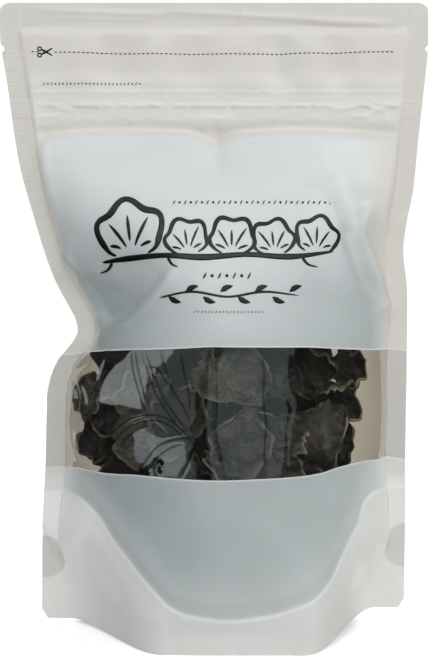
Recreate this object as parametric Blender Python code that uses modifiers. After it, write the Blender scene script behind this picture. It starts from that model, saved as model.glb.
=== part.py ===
"""A filled stand-up pouch of dried wood ears: two film panels, a bottom gusset, a press-to-close
zip and the curled dry mushrooms inside it.

Metres, +Z up, the front panel faces -Y. The origin is on the surface that the pouch stands on,
under the middle of its box. A place on a panel is (side, height): side runs from -1 at the left
seam's outer edge to 1 at the right one's, and height is the level in the filled pouch.
"""

import math
from dataclasses import dataclass

import bmesh
import bpy
import numpy as np
from mathutils import Euler
from mathutils.bvhtree import BVHTree

MM = 0.001

# The filled pouch, standing
POUCH_HEIGHT = 246 * MM
FILM = 0.4 * MM
GUSSET_FILM = 0.3 * MM
GAP = 0.3 * MM
SIDE_SEAL = 8 * MM
TOP_SEAL = 9 * MM
# Half the space between the panels: where they are sealed, over the gusset, in the header and
# over the zip, and the heights between which one passes into the next
SEALED_HALF_GAP, GUSSET_HALF_GAP = 0.15 * MM, 0.85 * MM
HEADER_HALF_GAP, ZIP_HALF_GAP = 0.8 * MM, 1.45 * MM
GUSSET_EASE = (54 * MM, 60 * MM)
BELOW_ZIP_EASE, ABOVE_ZIP_EASE = (195.4 * MM, 199 * MM), (213 * MM, 220 * MM)
TOP_SEAL_EASE = (POUCH_HEIGHT - TOP_SEAL - 4 * MM, POUCH_HEIGHT - TOP_SEAL)
SIDE_SEAL_EASE = 0.006

# Seams seen from the front: (height, x) of the outer edge, in mm. The left one is pushed in
# above the window.
LEFT_SEAM = (
    (0, -69.4), (29, -69), (49, -68.3), (70, -67.4), (90, -66.8), (98, -65.5), (105.9, -62.2),
    (109.9, -59), (113.9, -55.8), (117.9, -54.2), (121.9, -54.9), (126, -56.9), (133.8, -61.2),
    (141.8, -64.7), (161.5, -70.9), (185, -77), (216, -81.3), (232, -83.6), (246, -84),
)
RIGHT_SEAM = (
    (0, 76.6), (90, 76.8), (122, 76.8), (134, 76.6), (149.7, 75), (161.5, 76.4), (173, 78.6),
    (197, 80.8), (224, 83.5), (232, 84), (246, 84),
)
# How far the belly stands forward of the seams: (height, depth), in mm
BELLY = (
    (0, 34.3), (6, 34.3), (14, 35.6), (40, 36.8), (70, 37), (100, 35.3), (126, 31.8), (146, 26.9),
    (161, 21), (173, 14.6), (183, 8.3), (190, 3.4), (195.4, 0.6), (199, 0), (246, 0),
)
SHOULDER_FROM, SHOULDER_TO = 120 * MM, 186 * MM
ROUND_DOME, SQUARE_DOME, DOME_SIDE = 2.3, 5.0, 0.85

# The foot: both panels bow out between their corners, and the corners lift off the surface
LEFT_FOOT, RIGHT_FOOT = (0.30, 0.86), (0.40, 0.85)
FOOT_WALL, FOOT_FADE = 6 * MM, 50 * MM
LEFT_LIFT, RIGHT_LIFT = 1.6 * MM, 6 * MM
LIFT_FADE = 60 * MM
CORNER_CUT_SIDE, CORNER_CUT_RISE, CORNER_CUT_HEIGHT = 0.965, 3.5 * MM, 8 * MM
TOP_CORNER, TOP_CORNER_FROM = 1.6 * MM, 243 * MM
NOTCH_HEIGHT, NOTCH_HALF, NOTCH_DEPTH = 228.3 * MM, 1.5 * MM, 1.8 * MM

# The curved seal that joins each panel to the gusset
SEAL_LOW, SEAL_HIGH = 12.5 * MM, 52 * MM
PUFF, PUFF_WIDTH, PUFF_EASE = 2 * MM, 8 * MM, (0, 0.3)
FLOOR_SAG = 3 * MM
LEG_CLEARANCE = 0.45 * MM

# The zip
ZIP_LOW, ZIP_LINE, ZIP_HIGH = 199.5 * MM, 206.3 * MM, 212 * MM
ZIP_LEFT, ZIP_RIGHT = -70 * MM, 71 * MM
ZIP_PLATE, ZIP_REACH, ZIP_SPACE = 0.4 * MM, 0.9 * MM, 1.2 * MM
ZIP_LIP, ZIP_RIB = 0.6 * MM, 0.6 * MM


@dataclass(frozen=True)
class Panel:
    """What sets one film panel apart from the other: the way it faces along Y, how far out its
    curved seal rises to the left and the right, and its dents. A hollow is (x, height, half
    width, half height, depth) and a crease is (x, height, x, height, width, depth), in mm."""

    facing: int
    seal_span: tuple
    hollows: tuple
    creases: tuple


FRONT = Panel(
    facing=-1,
    seal_span=((0.18, 0.83), (0.36, 0.83)),
    hollows=(
        (-41, 134, 17, 14, 8.5), (-47, 118, 10, 12, 3), (40, 52, 16, 12, 1.5),
        (-34, 52, 14, 10, 1.5),
    ),
    creases=((48, 180, 60, 152, 7, 3.6), (0.5, 196, 0.5, 182, 5, 2), (59, 162, 67, 130, 4, -2.2)),
)
BACK = Panel(
    facing=1,
    seal_span=((0.25, 0.83), (0.25, 0.83)),
    hollows=((36, 128, 18, 14, 5.5), (-44, 140, 13, 16, 4.5)),
    creases=((-6, 194, -4, 178, 5, 2), (-30, 60, 12, 92, 9, 2.5)),
)
DENT_LIMIT = 0.8
DENT_EASE = (0.02, 0.35)

# Columns and rows of the panels. LEG_ROWS run from the foot at 0 to the curved seal at 1, and
# on to LEVEL_FROM at 2; the rows above that are level ones, in mm. The window is from 65 to 113.
HALF_COLUMNS = (1, 0.965, 0.895, 0.8, 0.66, 0.5, 0.34, 0.17)
LEG_ROWS = (0, 0.25, 0.5, 0.75, 1)
OVER_SEAL_ROWS = (1.3, 1.6)
LEVEL_FROM = 63
FRONT_ROWS = (
    76, 88, 98, 106, 112, 118, 124, 131, 139, 149, 159, 168, 177, 185, 191, 195.4, 199, 207, 213,
    220, 226.8, 228.3, 229.8, 237, 246,
)
BACK_ROWS = (
    80, 98, 106, 112, 118, 124, 139, 155, 170, 183, 191, 195.4, 199, 213, 226.8, 228.3, 229.8,
    237, 246,
)

# Dried wood ears: where the ones at the window lie, (x, height, radius, turn, tilt, curl),
# in mm and degrees. A curl above 0 shows the hollow side to the front.
WINDOW_EARS = (
    (7, 104, 12.5, 20, -8, -95), (-27, 95, 9.5, 130, 15, -120), (-12, 89, 9, 60, -12, -100),
    (38, 78, 12, 100, 10, -105), (24, 81, 9, 200, -15, -125), (10, 78, 11, 330, 8, -90),
    (-17, 81, 9, 20, 12, -85), (-29, 78, 8.5, 240, -10, -100), (48, 90, 10, 75, 15, 125),
    (36, 104, 11, 300, -12, 110), (-35, 104, 13, 160, 8, 80), (4.5, 69.5, 6.5, 45, 0, -120),
    (20, 104, 12, 250, 0, 90), (20, 92, 10.5, 140, 10, 105), (-3, 94, 9.5, 90, -10, 115),
    (-17, 106, 11.5, 200, 5, 95), (44, 73, 11, 10, -8, 95), (-45, 75, 10, 280, 10, 100),
    (-46, 92, 9, 110, -8, -115), (-36, 85, 11, 45, 6, 100), (-3, 72, 9, 310, -12, 100),
    (33, 93, 11, 215, 8, -100), (52, 104, 8, 60, 10, 120), (-36, 68, 10, 150, 0, -95),
    (22, 67, 10, 80, 10, -90), (-15, 69, 10, 30, -10, 95),
)
EAR_THICKNESS = 1.1 * MM
EAR_CLEARANCE = 0.5 * MM
FILM_CLEARANCE = 2.2 * MM
EDGE_CLEARANCE = 3 * MM
NEST_STEP = 0.5 * MM
EAR_COUNT = 53
EAR_SIDES = 5
EAR_ROUNDING = 0.42
# The heap behind and below them: its columns, and how far back each layer starts
HEAP_COLUMNS, HEAP_SPACING = 5, 25 * MM
HEAP_LAYERS = (
    (-40 * MM, (34 * MM, 56 * MM)),
    (-9 * MM, (36 * MM, 60 * MM, 84 * MM, 107 * MM)),
    (12 * MM, (30 * MM, 56 * MM, 82 * MM, 106 * MM)),
)
HEAP_RADIUS, HEAP_CURL = (12, 15.5), (80, 130)
HEAP_SHIFT, HEAP_TILT = 3, 15
POUCH_MIDDLE = 4 * MM
HEAP_SEED = 7
# An ear's outline and form, as shares of its radius
EAR_OVAL, EAR_LOBES, EAR_SWAY = 0.88, 0.09, 0.07
EAR_CUP, EAR_RUFFLE = 0.18, 0.11
# How far the lobes and the ruffles turn from one ear to the next, in radians
LOBE_TURN, RUFFLE_TURN = 1.7, 2.9

# Colour and roughness of each finish
PRINTED_FINISH = ((0.62, 0.65, 0.66), 0.4)
GUSSET_FINISH = ((0.55, 0.56, 0.55), 0.4)
ZIP_FINISH = ((0.70, 0.70, 0.68), 0.4)
EAR_FINISH = ((0.035, 0.030, 0.026), 0.6)


def ramp(value, start, end):
    """0 before start, 1 after end, and a smooth S between them."""
    t = np.clip((value - start) / (end - start), 0.0, 1.0)
    return t * t * (3.0 - 2.0 * t)


def follow(points, height):
    """The smooth curve through (height, value) points in mm, level wherever it turns back."""
    xs, ys = (np.array(c, float) * MM for c in zip(*points))
    slopes = np.diff(ys) / np.diff(xs)
    before, after = slopes[:-1], slopes[1:]
    turning = before * after <= 0
    mean = 2 * before * after / np.where(turning, 1.0, before + after)
    tangents = np.concatenate([slopes[:1], np.where(turning, 0.0, mean), slopes[-1:]])
    i = np.clip(np.searchsorted(xs, height) - 1, 0, len(xs) - 2)
    width = xs[i + 1] - xs[i]
    t = np.clip((height - xs[i]) / width, 0.0, 1.0)
    return (
        (1 + 2 * t) * (1 - t) ** 2 * ys[i]
        + t * (1 - t) ** 2 * width * tangents[i]
        + t * t * (3 - 2 * t) * ys[i + 1]
        - t * t * (1 - t) * width * tangents[i + 1]
    )


def seams(height):
    """x of the pouch's middle line and half its width at a height."""
    left, right = follow(LEFT_SEAM, height), follow(RIGHT_SEAM, height)
    return (left + right) / 2, (right - left) / 2


def inner(side, height):
    """How far across the space between the side seals, 0 in the middle to 1 at a seal."""
    half = seams(height)[1]
    return np.clip(np.abs(side) / (1 - SIDE_SEAL / half), 0.0, 1.0)


def corner_share(side):
    """0 where the foot runs level along the pouch's front and back, 1 at its two corners."""
    return ramp(-side, *LEFT_FOOT) + ramp(side, *RIGHT_FOOT)


def bulge(side, height):
    """The belly's share of its full depth: bowed at the foot, domed above it, square at the top."""
    power = ROUND_DOME + (SQUARE_DOME - ROUND_DOME) * ramp(height, SHOULDER_FROM, SHOULDER_TO)
    dome = (1 - inner(side, height) ** power) ** DOME_SIDE
    foot = 1 - corner_share(side)
    return foot + (dome - foot) * ramp(height, FOOT_WALL, FOOT_FADE)


def seal_line(side, panel):
    """Height of the curved gusset seal: low in the middle, high at both sides."""
    left, right = panel.seal_span
    rise = ramp(-side, *left) + ramp(side, *right)
    return SEAL_LOW + (SEAL_HIGH - SEAL_LOW) * rise


def row_height(side, row, panel):
    """Height of a panel's row: a share of the curved seal's height up to row 1, from there up to
    LEVEL_FROM at row 2, and level rows a mm apart above it."""
    seal = seal_line(side, panel)
    over = seal + (LEVEL_FROM * MM - seal) * np.clip(row - 1, 0, 1)
    return np.where(row <= 1, seal * row, over + np.maximum(row - 2, 0) * MM)


def half_gap(side, height):
    """Half the space between the panels where nothing fills the pouch: seals, header and zip."""
    closed = GUSSET_HALF_GAP + (SEALED_HALF_GAP - GUSSET_HALF_GAP) * ramp(height, *GUSSET_EASE)
    header = HEADER_HALF_GAP + (SEALED_HALF_GAP - HEADER_HALF_GAP) * ramp(height, *TOP_SEAL_EASE)
    at_zip = ramp(height, *BELOW_ZIP_EASE) * (1 - ramp(height, *ABOVE_ZIP_EASE))
    open_gap = header + (ZIP_HALF_GAP - header) * at_zip
    return closed + (open_gap - closed) * ramp(1 - inner(side, height), 0.0, SIDE_SEAL_EASE)


def pushed_in(x, z, panel):
    """How far the film is pushed in by its hollows, deepest in their middle, and by its creases,
    deepest on a straight line and gone past its ends."""
    x, z = x / MM, z / MM
    total = np.zeros_like(x)
    for middle_x, middle_z, half_width, half_height, depth in panel.hollows:
        away = ((x - middle_x) / half_width) ** 2 + ((z - middle_z) / half_height) ** 2
        total = total + depth * np.exp(-away)
    for x0, z0, x1, z1, width, depth in panel.creases:
        run_x, run_z = x1 - x0, z1 - z0
        t = np.clip(((x - x0) * run_x + (z - z0) * run_z) / (run_x**2 + run_z**2), 0.0, 1.0)
        away = (x - x0 - t * run_x) ** 2 + (z - z0 - t * run_z) ** 2
        total = total + depth * np.exp(-away / width**2)
    return total * MM


def panel_depth(side, height, panel):
    """Distance of a panel's inner face from the plane of the seams."""
    middle, half = seams(height)
    share = bulge(side, height)
    puff = PUFF * ramp(height - seal_line(side, panel), 0, PUFF_WIDTH)
    puff = puff * (1 - ramp(height, SHOULDER_FROM, SHOULDER_TO)) * ramp(share, *PUFF_EASE)
    pushed = pushed_in(middle + side * half, height, panel) * ramp(share, *DENT_EASE)
    belly = follow(BELLY, height) * share
    return half_gap(side, height) + belly + puff - np.minimum(pushed, belly * DENT_LIMIT)


def panel_point(side, height, panel):
    """A point of a panel's inner face."""
    middle, half = seams(height)
    edge = ramp(np.abs(side), CORNER_CUT_SIDE, 1)
    notch = NOTCH_DEPTH * np.clip(1 - np.abs(height - NOTCH_HEIGHT) / NOTCH_HALF, 0, 1)
    top_corner = TOP_CORNER * ramp(height, TOP_CORNER_FROM, POUCH_HEIGHT)
    x = middle + side * half - np.sign(side) * edge * (notch + top_corner)
    lift = np.where(side < 0, LEFT_LIFT, RIGHT_LIFT)
    raised = lift * corner_share(side) * (1 - ramp(height, 0, LIFT_FADE))
    cut = CORNER_CUT_RISE * edge * (1 - ramp(height, 0, CORNER_CUT_HEIGHT))
    z = height + raised + cut - edge * top_corner
    return np.stack([x, panel.facing * panel_depth(side, height, panel), z], axis=-1)


def gusset_point(side, around):
    """A point of the gusset: around runs from -1 at the front foot, up the front seal, across the
    pouch's floor at 0 and down the back seal to 1."""
    facing = np.sign(around)
    reach = np.abs(around)
    seal = np.where(facing < 0, seal_line(side, FRONT), seal_line(side, BACK))
    height = seal * np.clip(2 * (1 - reach), 0, 1)
    front, back = panel_point(side, height, FRONT), panel_point(side, height, BACK)
    leg = np.where((facing < 0)[..., None], front, back)
    share = bulge(side, height)
    inset = GUSSET_HALF_GAP - GUSSET_FILM * 1.5 + LEG_CLEARANCE * share
    leg[..., 1] -= facing * inset
    across = np.clip(2 * reach, 0, 1)
    leg[..., 1] *= across
    leg[..., 2] -= FLOOR_SAG * (1 - across**2) * share
    return leg


def make_material(name, finish):
    """A plain finish for one object, from its colour and roughness."""
    colour, roughness = finish
    material = bpy.data.materials.new(name)
    material.diffuse_color = (*colour, 1)
    material.use_nodes = True
    shader = material.node_tree.nodes["Principled BSDF"]
    shader.inputs["Base Color"].default_value = (*colour, 1)
    shader.inputs["Roughness"].default_value = roughness
    shader.inputs["Metallic"].default_value = 0
    return material


def add_object(name, mesh, finish, collection):
    """An object of that mesh and finish in the collection."""
    thing = bpy.data.objects.new(name, mesh)
    mesh.materials.append(make_material(name, finish))
    mesh.shade_smooth()
    collection.objects.link(thing)
    return thing


def grid_mesh(name, columns, rows, place, outward=1):
    """A grid primitive whose corners go where place puts each column and row value."""
    bm = bmesh.new()
    bmesh.ops.create_grid(bm, x_segments=len(columns) - 1, y_segments=len(rows) - 1, size=1)
    flat = np.array([v.co[:2] for v in bm.verts])
    steps = np.array([len(columns) - 1, len(rows) - 1])
    index = np.rint((flat + 1) / 2 * steps).astype(int)
    points = place(np.asarray(columns, float)[index[:, 0]], np.asarray(rows, float)[index[:, 1]])
    for vert, point in zip(bm.verts, points):
        vert.co = point
    bmesh.ops.triangulate(bm, faces=bm.faces, quad_method="SHORT_EDGE")
    if outward < 0:
        bmesh.ops.reverse_faces(bm, faces=bm.faces)
    mesh = bpy.data.meshes.new(name)
    bm.to_mesh(mesh)
    bm.free()
    return mesh


def thicken(thing, thickness, offset):
    """Gives an open sheet its thickness; offset 1 puts it all on the outside."""
    solid = thing.modifiers.new("film", "SOLIDIFY")
    solid.thickness = thickness
    solid.offset = offset
    solid.use_rim = True


def add_panels(collection):
    """The front and back film, from the foot to the top seal."""
    columns = [-c for c in HALF_COLUMNS] + [0] + list(reversed(HALF_COLUMNS))
    for name, heights, panel in (("film_front", FRONT_ROWS, FRONT), ("film_back", BACK_ROWS, BACK)):
        level = [2 + height - LEVEL_FROM for height in (LEVEL_FROM, *heights)]

        def place(side, row):
            return panel_point(side, row_height(side, row, panel), panel)

        rows = [*LEG_ROWS, *OVER_SEAL_ROWS, *level]
        mesh = grid_mesh(name, columns, rows, place, -panel.facing)
        thicken(add_object(name, mesh, PRINTED_FINISH, collection), FILM, 1)


def add_gusset(collection):
    """The film that is sealed to both panels at the foot and spans the pouch's floor."""
    columns = [-c for c in HALF_COLUMNS] + [0] + list(reversed(HALF_COLUMNS))
    leg = [1 - row / 2 for row in LEG_ROWS]
    around = [-a for a in leg] + [-0.25, 0, 0.25] + list(reversed(leg))
    mesh = grid_mesh("film_gusset", columns, around, gusset_point)
    thicken(add_object("film_gusset", mesh, GUSSET_FINISH, collection), GUSSET_FILM, 0)


def extrude_outline(name, outline, finish, collection):
    """A bar along X over the zip's length, with an outline in (y, z)."""
    curve = bpy.data.curves.new(name, "CURVE")
    curve.dimensions = "2D"
    curve.fill_mode = "BOTH"
    curve.extrude = (ZIP_RIGHT - ZIP_LEFT) / 2
    line = curve.splines.new("POLY")
    line.points.add(len(outline) - 1)
    for point, (y, z) in zip(line.points, outline):
        point.co = (y, z, 0, 1)
    line.use_cyclic_u = True
    curve.materials.append(make_material(name, finish))
    bar = bpy.data.objects.new(name, curve)
    bar.rotation_euler = Euler((math.pi / 2, 0, math.pi / 2))
    bar.location.x = (ZIP_LEFT + ZIP_RIGHT) / 2
    collection.objects.link(bar)


def add_zip(collection):
    """The zip's two strips: a channel with two lips in front, a rib that enters it behind."""
    outer = ZIP_PLATE + ZIP_SPACE / 2
    plate = ZIP_SPACE / 2
    lip_in = ZIP_RIB / 2 + GAP
    lip_out = lip_in + ZIP_LIP
    reach = plate - ZIP_REACH
    channel = [
        (-outer, ZIP_LOW), (-plate, ZIP_LOW), (-plate, ZIP_LINE - lip_out),
        (-reach, ZIP_LINE - lip_out), (-reach, ZIP_LINE - lip_in), (-plate, ZIP_LINE - lip_in),
        (-plate, ZIP_LINE + lip_in), (-reach, ZIP_LINE + lip_in), (-reach, ZIP_LINE + lip_out),
        (-plate, ZIP_LINE + lip_out), (-plate, ZIP_HIGH), (-outer, ZIP_HIGH),
    ]
    rib = [
        (outer, ZIP_LOW), (outer, ZIP_HIGH), (plate, ZIP_HIGH), (plate, ZIP_LINE + ZIP_RIB / 2),
        (reach, ZIP_LINE + ZIP_RIB / 2), (reach, ZIP_LINE - ZIP_RIB / 2),
        (plate, ZIP_LINE - ZIP_RIB / 2), (plate, ZIP_LOW),
    ]
    extrude_outline("zip_channel", channel, ZIP_FINISH, collection)
    extrude_outline("zip_rib", rib, ZIP_FINISH, collection)


def ear_sheet(across, along, radius, curl, shape):
    """A dried ear before it is placed: a lobed disc, rolled about one axis by the curl angle,
    cupped a little along the other and ruffled at its rim. across and along run from -1 to 1."""
    lobe_turn, ruffle_turn, lobes = shape
    flat_x = across * np.sqrt(1 - EAR_ROUNDING * along**2)
    flat_y = along * np.sqrt(1 - EAR_ROUNDING * across**2)
    angle = np.arctan2(flat_y, flat_x)
    reach = np.hypot(flat_x, flat_y)
    sway = EAR_SWAY * np.cos(2 * angle - lobe_turn)
    outline = radius * (1 + EAR_LOBES * np.cos(lobes * angle + lobe_turn) + sway)
    u, v = outline * flat_x, outline * flat_y * EAR_OVAL
    bend = curl / (2 * radius)
    x = np.sin(bend * u) / bend
    z = (1 - np.cos(bend * u)) / bend
    z = z + np.sign(curl) * EAR_CUP * v**2 / radius
    z = z + EAR_RUFFLE * radius * reach**2 * np.sin(3 * angle + ruffle_turn)
    return np.stack([x, -z, v], axis=-1)


def ear_turns(ear):
    """The rotation of an ear: turned in the plane of the film, then tilted forward."""
    turn, tilt = math.radians(ear[3]), math.radians(ear[4])
    return np.array(Euler((tilt, turn, tilt / 2)).to_matrix())


def ear_shape(number):
    """Where the lobes and ruffles of ear number lie, and how many lobes it has."""
    return (LOBE_TURN * number, RUFFLE_TURN * number, 3 + number % 3)


def film_limit(points, panel):
    """y of a panel's inner face in front of or behind each point."""
    middle, half = seams(points[..., 2])
    side = (points[..., 0] - middle) / half
    return panel.facing * panel_depth(side, points[..., 2], panel)


def fat_tree(points, margin):
    """A search tree of the ear's sheet with a margin on both faces, closed round its rim."""
    along = np.gradient(points, axis=0)
    across = np.gradient(points, axis=1)
    normal = np.cross(along, across)
    normal = normal / np.linalg.norm(normal, axis=-1, keepdims=True)
    both = np.concatenate([(points + normal * margin), (points - normal * margin)])
    corner = np.arange(points[..., 0].size).reshape(points.shape[:2])
    faces = [corner[:-1, :-1], corner[:-1, 1:], corner[1:, 1:], corner[1:, :-1]]
    sheet = np.stack(faces, axis=-1).reshape(-1, 4)
    rim = np.concatenate([corner[0, :-1], corner[:-1, -1], corner[-1, :0:-1], corner[:0:-1, 0]])
    following = np.roll(rim, -1)
    wall = np.stack([rim, following, following + corner.size, rim + corner.size], axis=-1)
    polygons = np.concatenate([sheet, sheet + corner.size, wall]).tolist()
    return BVHTree.FromPolygons([tuple(p) for p in both.reshape(-1, 3)], polygons)


def heap_ears():
    """The ears behind and below the ones at the window, in staggered columns and levels, each
    with how far back it starts."""
    rng = np.random.default_rng(HEAP_SEED)
    for layer, (start, levels) in enumerate(HEAP_LAYERS):
        for level, height in enumerate(levels):
            for column in range(HEAP_COLUMNS):
                shift = 0.5 * ((layer + level) % 2)
                x = (column - (HEAP_COLUMNS - 1) / 2 + shift) * HEAP_SPACING / MM
                x = x + POUCH_MIDDLE / MM + rng.uniform(-HEAP_SHIFT, HEAP_SHIFT)
                z = height / MM + rng.uniform(-HEAP_SHIFT, HEAP_SHIFT)
                radius, turn = rng.uniform(*HEAP_RADIUS), rng.uniform(0, 360)
                tilt = rng.uniform(-HEAP_TILT, HEAP_TILT)
                curl = rng.choice([-1, 1]) * rng.uniform(*HEAP_CURL)
                yield start, (x, z, radius, turn, tilt, curl)


def in_pouch(points):
    """True if the ear lies between the side seals and above the gusset's floor."""
    middle, half = seams(points[..., 2])
    side = (points[..., 0] - middle) / half
    room = 1 - (SIDE_SEAL + EDGE_CLEARANCE) / half
    above = points[..., 2] - seal_line(side, FRONT)
    return bool((np.abs(side) < room).all() and (above > EDGE_CLEARANCE).all())


def nested_ears():
    """Places every ear behind the front film, moving it back until it is clear of those already
    there. An ear that doesn't fit in front of the back film is left out."""
    line = np.linspace(-1, 1, EAR_SIDES)
    grid = np.meshgrid(line, line)
    trees, placed = [], []
    for start, ear in [*((-1, ear) for ear in WINDOW_EARS), *heap_ears()]:
        if len(placed) == EAR_COUNT:
            break
        shape = ear_shape(len(placed))
        sheet = ear_sheet(*grid, ear[2] * MM, math.radians(ear[5]), shape)
        points = sheet @ ear_turns(ear).T + np.array([ear[0] * MM, 0, ear[1] * MM])
        if not in_pouch(points):
            continue
        margin = FILM_CLEARANCE + EAR_THICKNESS / 2
        back = max(start, float((film_limit(points, FRONT) + margin - points[..., 1]).max()))
        furthest = float((film_limit(points, BACK) - margin - points[..., 1]).min())
        while back < furthest:
            tree = fat_tree(points + (0, back, 0), (EAR_THICKNESS + EAR_CLEARANCE) / 2)
            if not any(tree.overlap(other) for other in trees):
                trees.append(tree)
                placed.append((ear, shape, back))
                break
            back += NEST_STEP
    return placed


def add_ears(collection):
    """The dried wood ears, each a curled sheet of its own."""
    for number, (ear, shape, back) in enumerate(nested_ears(), 1):
        turns = ear_turns(ear)

        def place(across, along):
            sheet = ear_sheet(across, along, ear[2] * MM, math.radians(ear[5]), shape)
            return sheet @ turns.T + np.array([ear[0] * MM, back, ear[1] * MM])

        name = f"wood_ear_{number:02d}"
        line = np.linspace(-1, 1, EAR_SIDES)
        ear_object = add_object(name, grid_mesh(name, line, line, place), EAR_FINISH, collection)
        thicken(ear_object, EAR_THICKNESS, 0)


def main():
    for thing in list(bpy.data.objects):
        bpy.data.objects.remove(thing)
    collection = bpy.data.collections.new("wood_ear_pouch")
    bpy.context.scene.collection.children.link(collection)
    add_panels(collection)
    add_gusset(collection)
    add_zip(collection)
    add_ears(collection)


main()
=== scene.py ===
import math
from dataclasses import dataclass

import bpy
import numpy as np
from mathutils import Euler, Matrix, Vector


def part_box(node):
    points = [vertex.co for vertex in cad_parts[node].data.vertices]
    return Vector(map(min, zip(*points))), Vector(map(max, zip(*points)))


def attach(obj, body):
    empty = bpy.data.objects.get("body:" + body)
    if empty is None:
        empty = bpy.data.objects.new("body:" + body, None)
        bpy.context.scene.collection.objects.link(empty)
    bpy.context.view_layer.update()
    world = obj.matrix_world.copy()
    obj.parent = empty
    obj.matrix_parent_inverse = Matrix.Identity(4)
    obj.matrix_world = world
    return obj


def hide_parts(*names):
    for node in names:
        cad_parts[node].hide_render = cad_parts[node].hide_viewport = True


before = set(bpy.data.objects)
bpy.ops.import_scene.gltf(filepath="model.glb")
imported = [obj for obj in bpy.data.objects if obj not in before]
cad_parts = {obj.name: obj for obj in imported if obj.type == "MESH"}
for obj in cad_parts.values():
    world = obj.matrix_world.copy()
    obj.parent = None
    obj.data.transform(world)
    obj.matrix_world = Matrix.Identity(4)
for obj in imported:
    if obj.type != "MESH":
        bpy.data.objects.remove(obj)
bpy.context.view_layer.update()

# A filled stand-up pouch of dried wood ears. Metres, +Z up, the front faces -Y. A place on a film
# panel is (side, height): side runs from -1 at the left seam's outer edge to 1 at the right one's,
# and height is the level in the filled pouch. The first part repeats the part's own dimensions
# and formulas, so that every surface here lies where its solid is.

MM = 0.001

# ---- The pouch, as in the part's source --------------------------------------------------------
POUCH_HEIGHT = 246 * MM
FILM = 0.4 * MM
GUSSET_FILM = 0.3 * MM
SIDE_SEAL = 8 * MM
TOP_SEAL = 9 * MM
SEALED_HALF_GAP, GUSSET_HALF_GAP = 0.15 * MM, 0.85 * MM
HEADER_HALF_GAP, ZIP_HALF_GAP = 0.8 * MM, 1.45 * MM
GUSSET_EASE = (54 * MM, 60 * MM)
BELOW_ZIP_EASE, ABOVE_ZIP_EASE = (195.4 * MM, 199 * MM), (213 * MM, 220 * MM)
TOP_SEAL_EASE = (POUCH_HEIGHT - TOP_SEAL - 4 * MM, POUCH_HEIGHT - TOP_SEAL)
SIDE_SEAL_EASE = 0.006

# Seams seen from the front: (height, x) of the outer edge, in mm
LEFT_SEAM = (
    (0, -69.4), (29, -69), (49, -68.3), (70, -67.4), (90, -66.8), (98, -65.5), (105.9, -62.2),
    (109.9, -59), (113.9, -55.8), (117.9, -54.2), (121.9, -54.9), (126, -56.9), (133.8, -61.2),
    (141.8, -64.7), (161.5, -70.9), (185, -77), (216, -81.3), (232, -83.6), (246, -84),
)
RIGHT_SEAM = (
    (0, 76.6), (90, 76.8), (122, 76.8), (134, 76.6), (149.7, 75), (161.5, 76.4), (173, 78.6),
    (197, 80.8), (224, 83.5), (232, 84), (246, 84),
)
# How far the belly stands forward of the seams: (height, depth), in mm
BELLY = (
    (0, 34.3), (6, 34.3), (14, 35.6), (40, 36.8), (70, 37), (100, 35.3), (126, 31.8), (146, 26.9),
    (161, 21), (173, 14.6), (183, 8.3), (190, 3.4), (195.4, 0.6), (199, 0), (246, 0),
)
SHOULDER_FROM, SHOULDER_TO = 120 * MM, 186 * MM
ROUND_DOME, SQUARE_DOME, DOME_SIDE = 2.3, 5.0, 0.85
LEFT_FOOT, RIGHT_FOOT = (0.30, 0.86), (0.40, 0.85)
FOOT_WALL, FOOT_FADE = 6 * MM, 50 * MM
LEFT_LIFT, RIGHT_LIFT = 1.6 * MM, 6 * MM
LIFT_FADE = 60 * MM
CORNER_CUT_SIDE, CORNER_CUT_RISE, CORNER_CUT_HEIGHT = 0.965, 3.5 * MM, 8 * MM
NOTCH_HEIGHT, NOTCH_HALF, NOTCH_DEPTH = 228.3 * MM, 1.5 * MM, 1.8 * MM
FOOT_MIDDLE = 30 * MM
PUFF, PUFF_WIDTH, PUFF_EASE = 2 * MM, 8 * MM, (0, 0.3)
FLOOR_SAG = 3 * MM
LEG_CLEARANCE = 0.45 * MM
DENT_LIMIT = 0.8
DENT_EASE = (0.02, 0.35)


@dataclass(frozen=True)
class Panel:
    """A film panel: the way it faces along Y, the (x, height) curve along which the gusset is
    sealed to it, its hollows (x, height, half width, half height, depth) and its broad creases
    (x, height, x, height, width, depth), in mm."""

    facing: int
    seal_curve: tuple
    hollows: tuple
    creases: tuple


FRONT = Panel(
    facing=-1,
    seal_curve=(
        (-78, 52.8), (-66, 53.4), (-55.8, 54.0), (-50, 51.4), (-44.6, 47.3), (-38.1, 38.9),
        (-27.3, 28.4), (-21.5, 22.9), (-16, 17.7), (-8.8, 14.6), (5.9, 12.9), (20.5, 14.6),
        (28.4, 16.8), (36.3, 19.6), (43.4, 24.4), (48.9, 32.2), (53.9, 43), (57, 51.4),
        (60, 54.4), (67, 55.2), (78, 55.2),
    ),
    hollows=(
        (-41, 134, 17, 14, 8.5), (-47, 118, 10, 12, 3), (40, 52, 16, 12, 1.5),
        (-34, 52, 14, 10, 1.5),
    ),
    creases=((48, 180, 60, 152, 7, 3.6), (0.5, 196, 0.5, 182, 5, 2), (59, 162, 67, 130, 4, -2.2)),
)
BACK = Panel(
    facing=1,
    seal_curve=(
        (-78, 52.4), (-60, 52), (-50, 43), (-38, 29), (-26, 18.4), (-12, 13.6), (4, 12.6),
        (20, 13.4), (34, 19), (46, 30), (56, 44), (65, 52), (78, 52.6),
    ),
    hollows=((36, 128, 18, 14, 5.5), (-44, 140, 13, 16, 4.5)),
    creases=((-6, 194, -4, 178, 5, 2), (-30, 60, 12, 92, 9, 2.5)),
)

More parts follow.
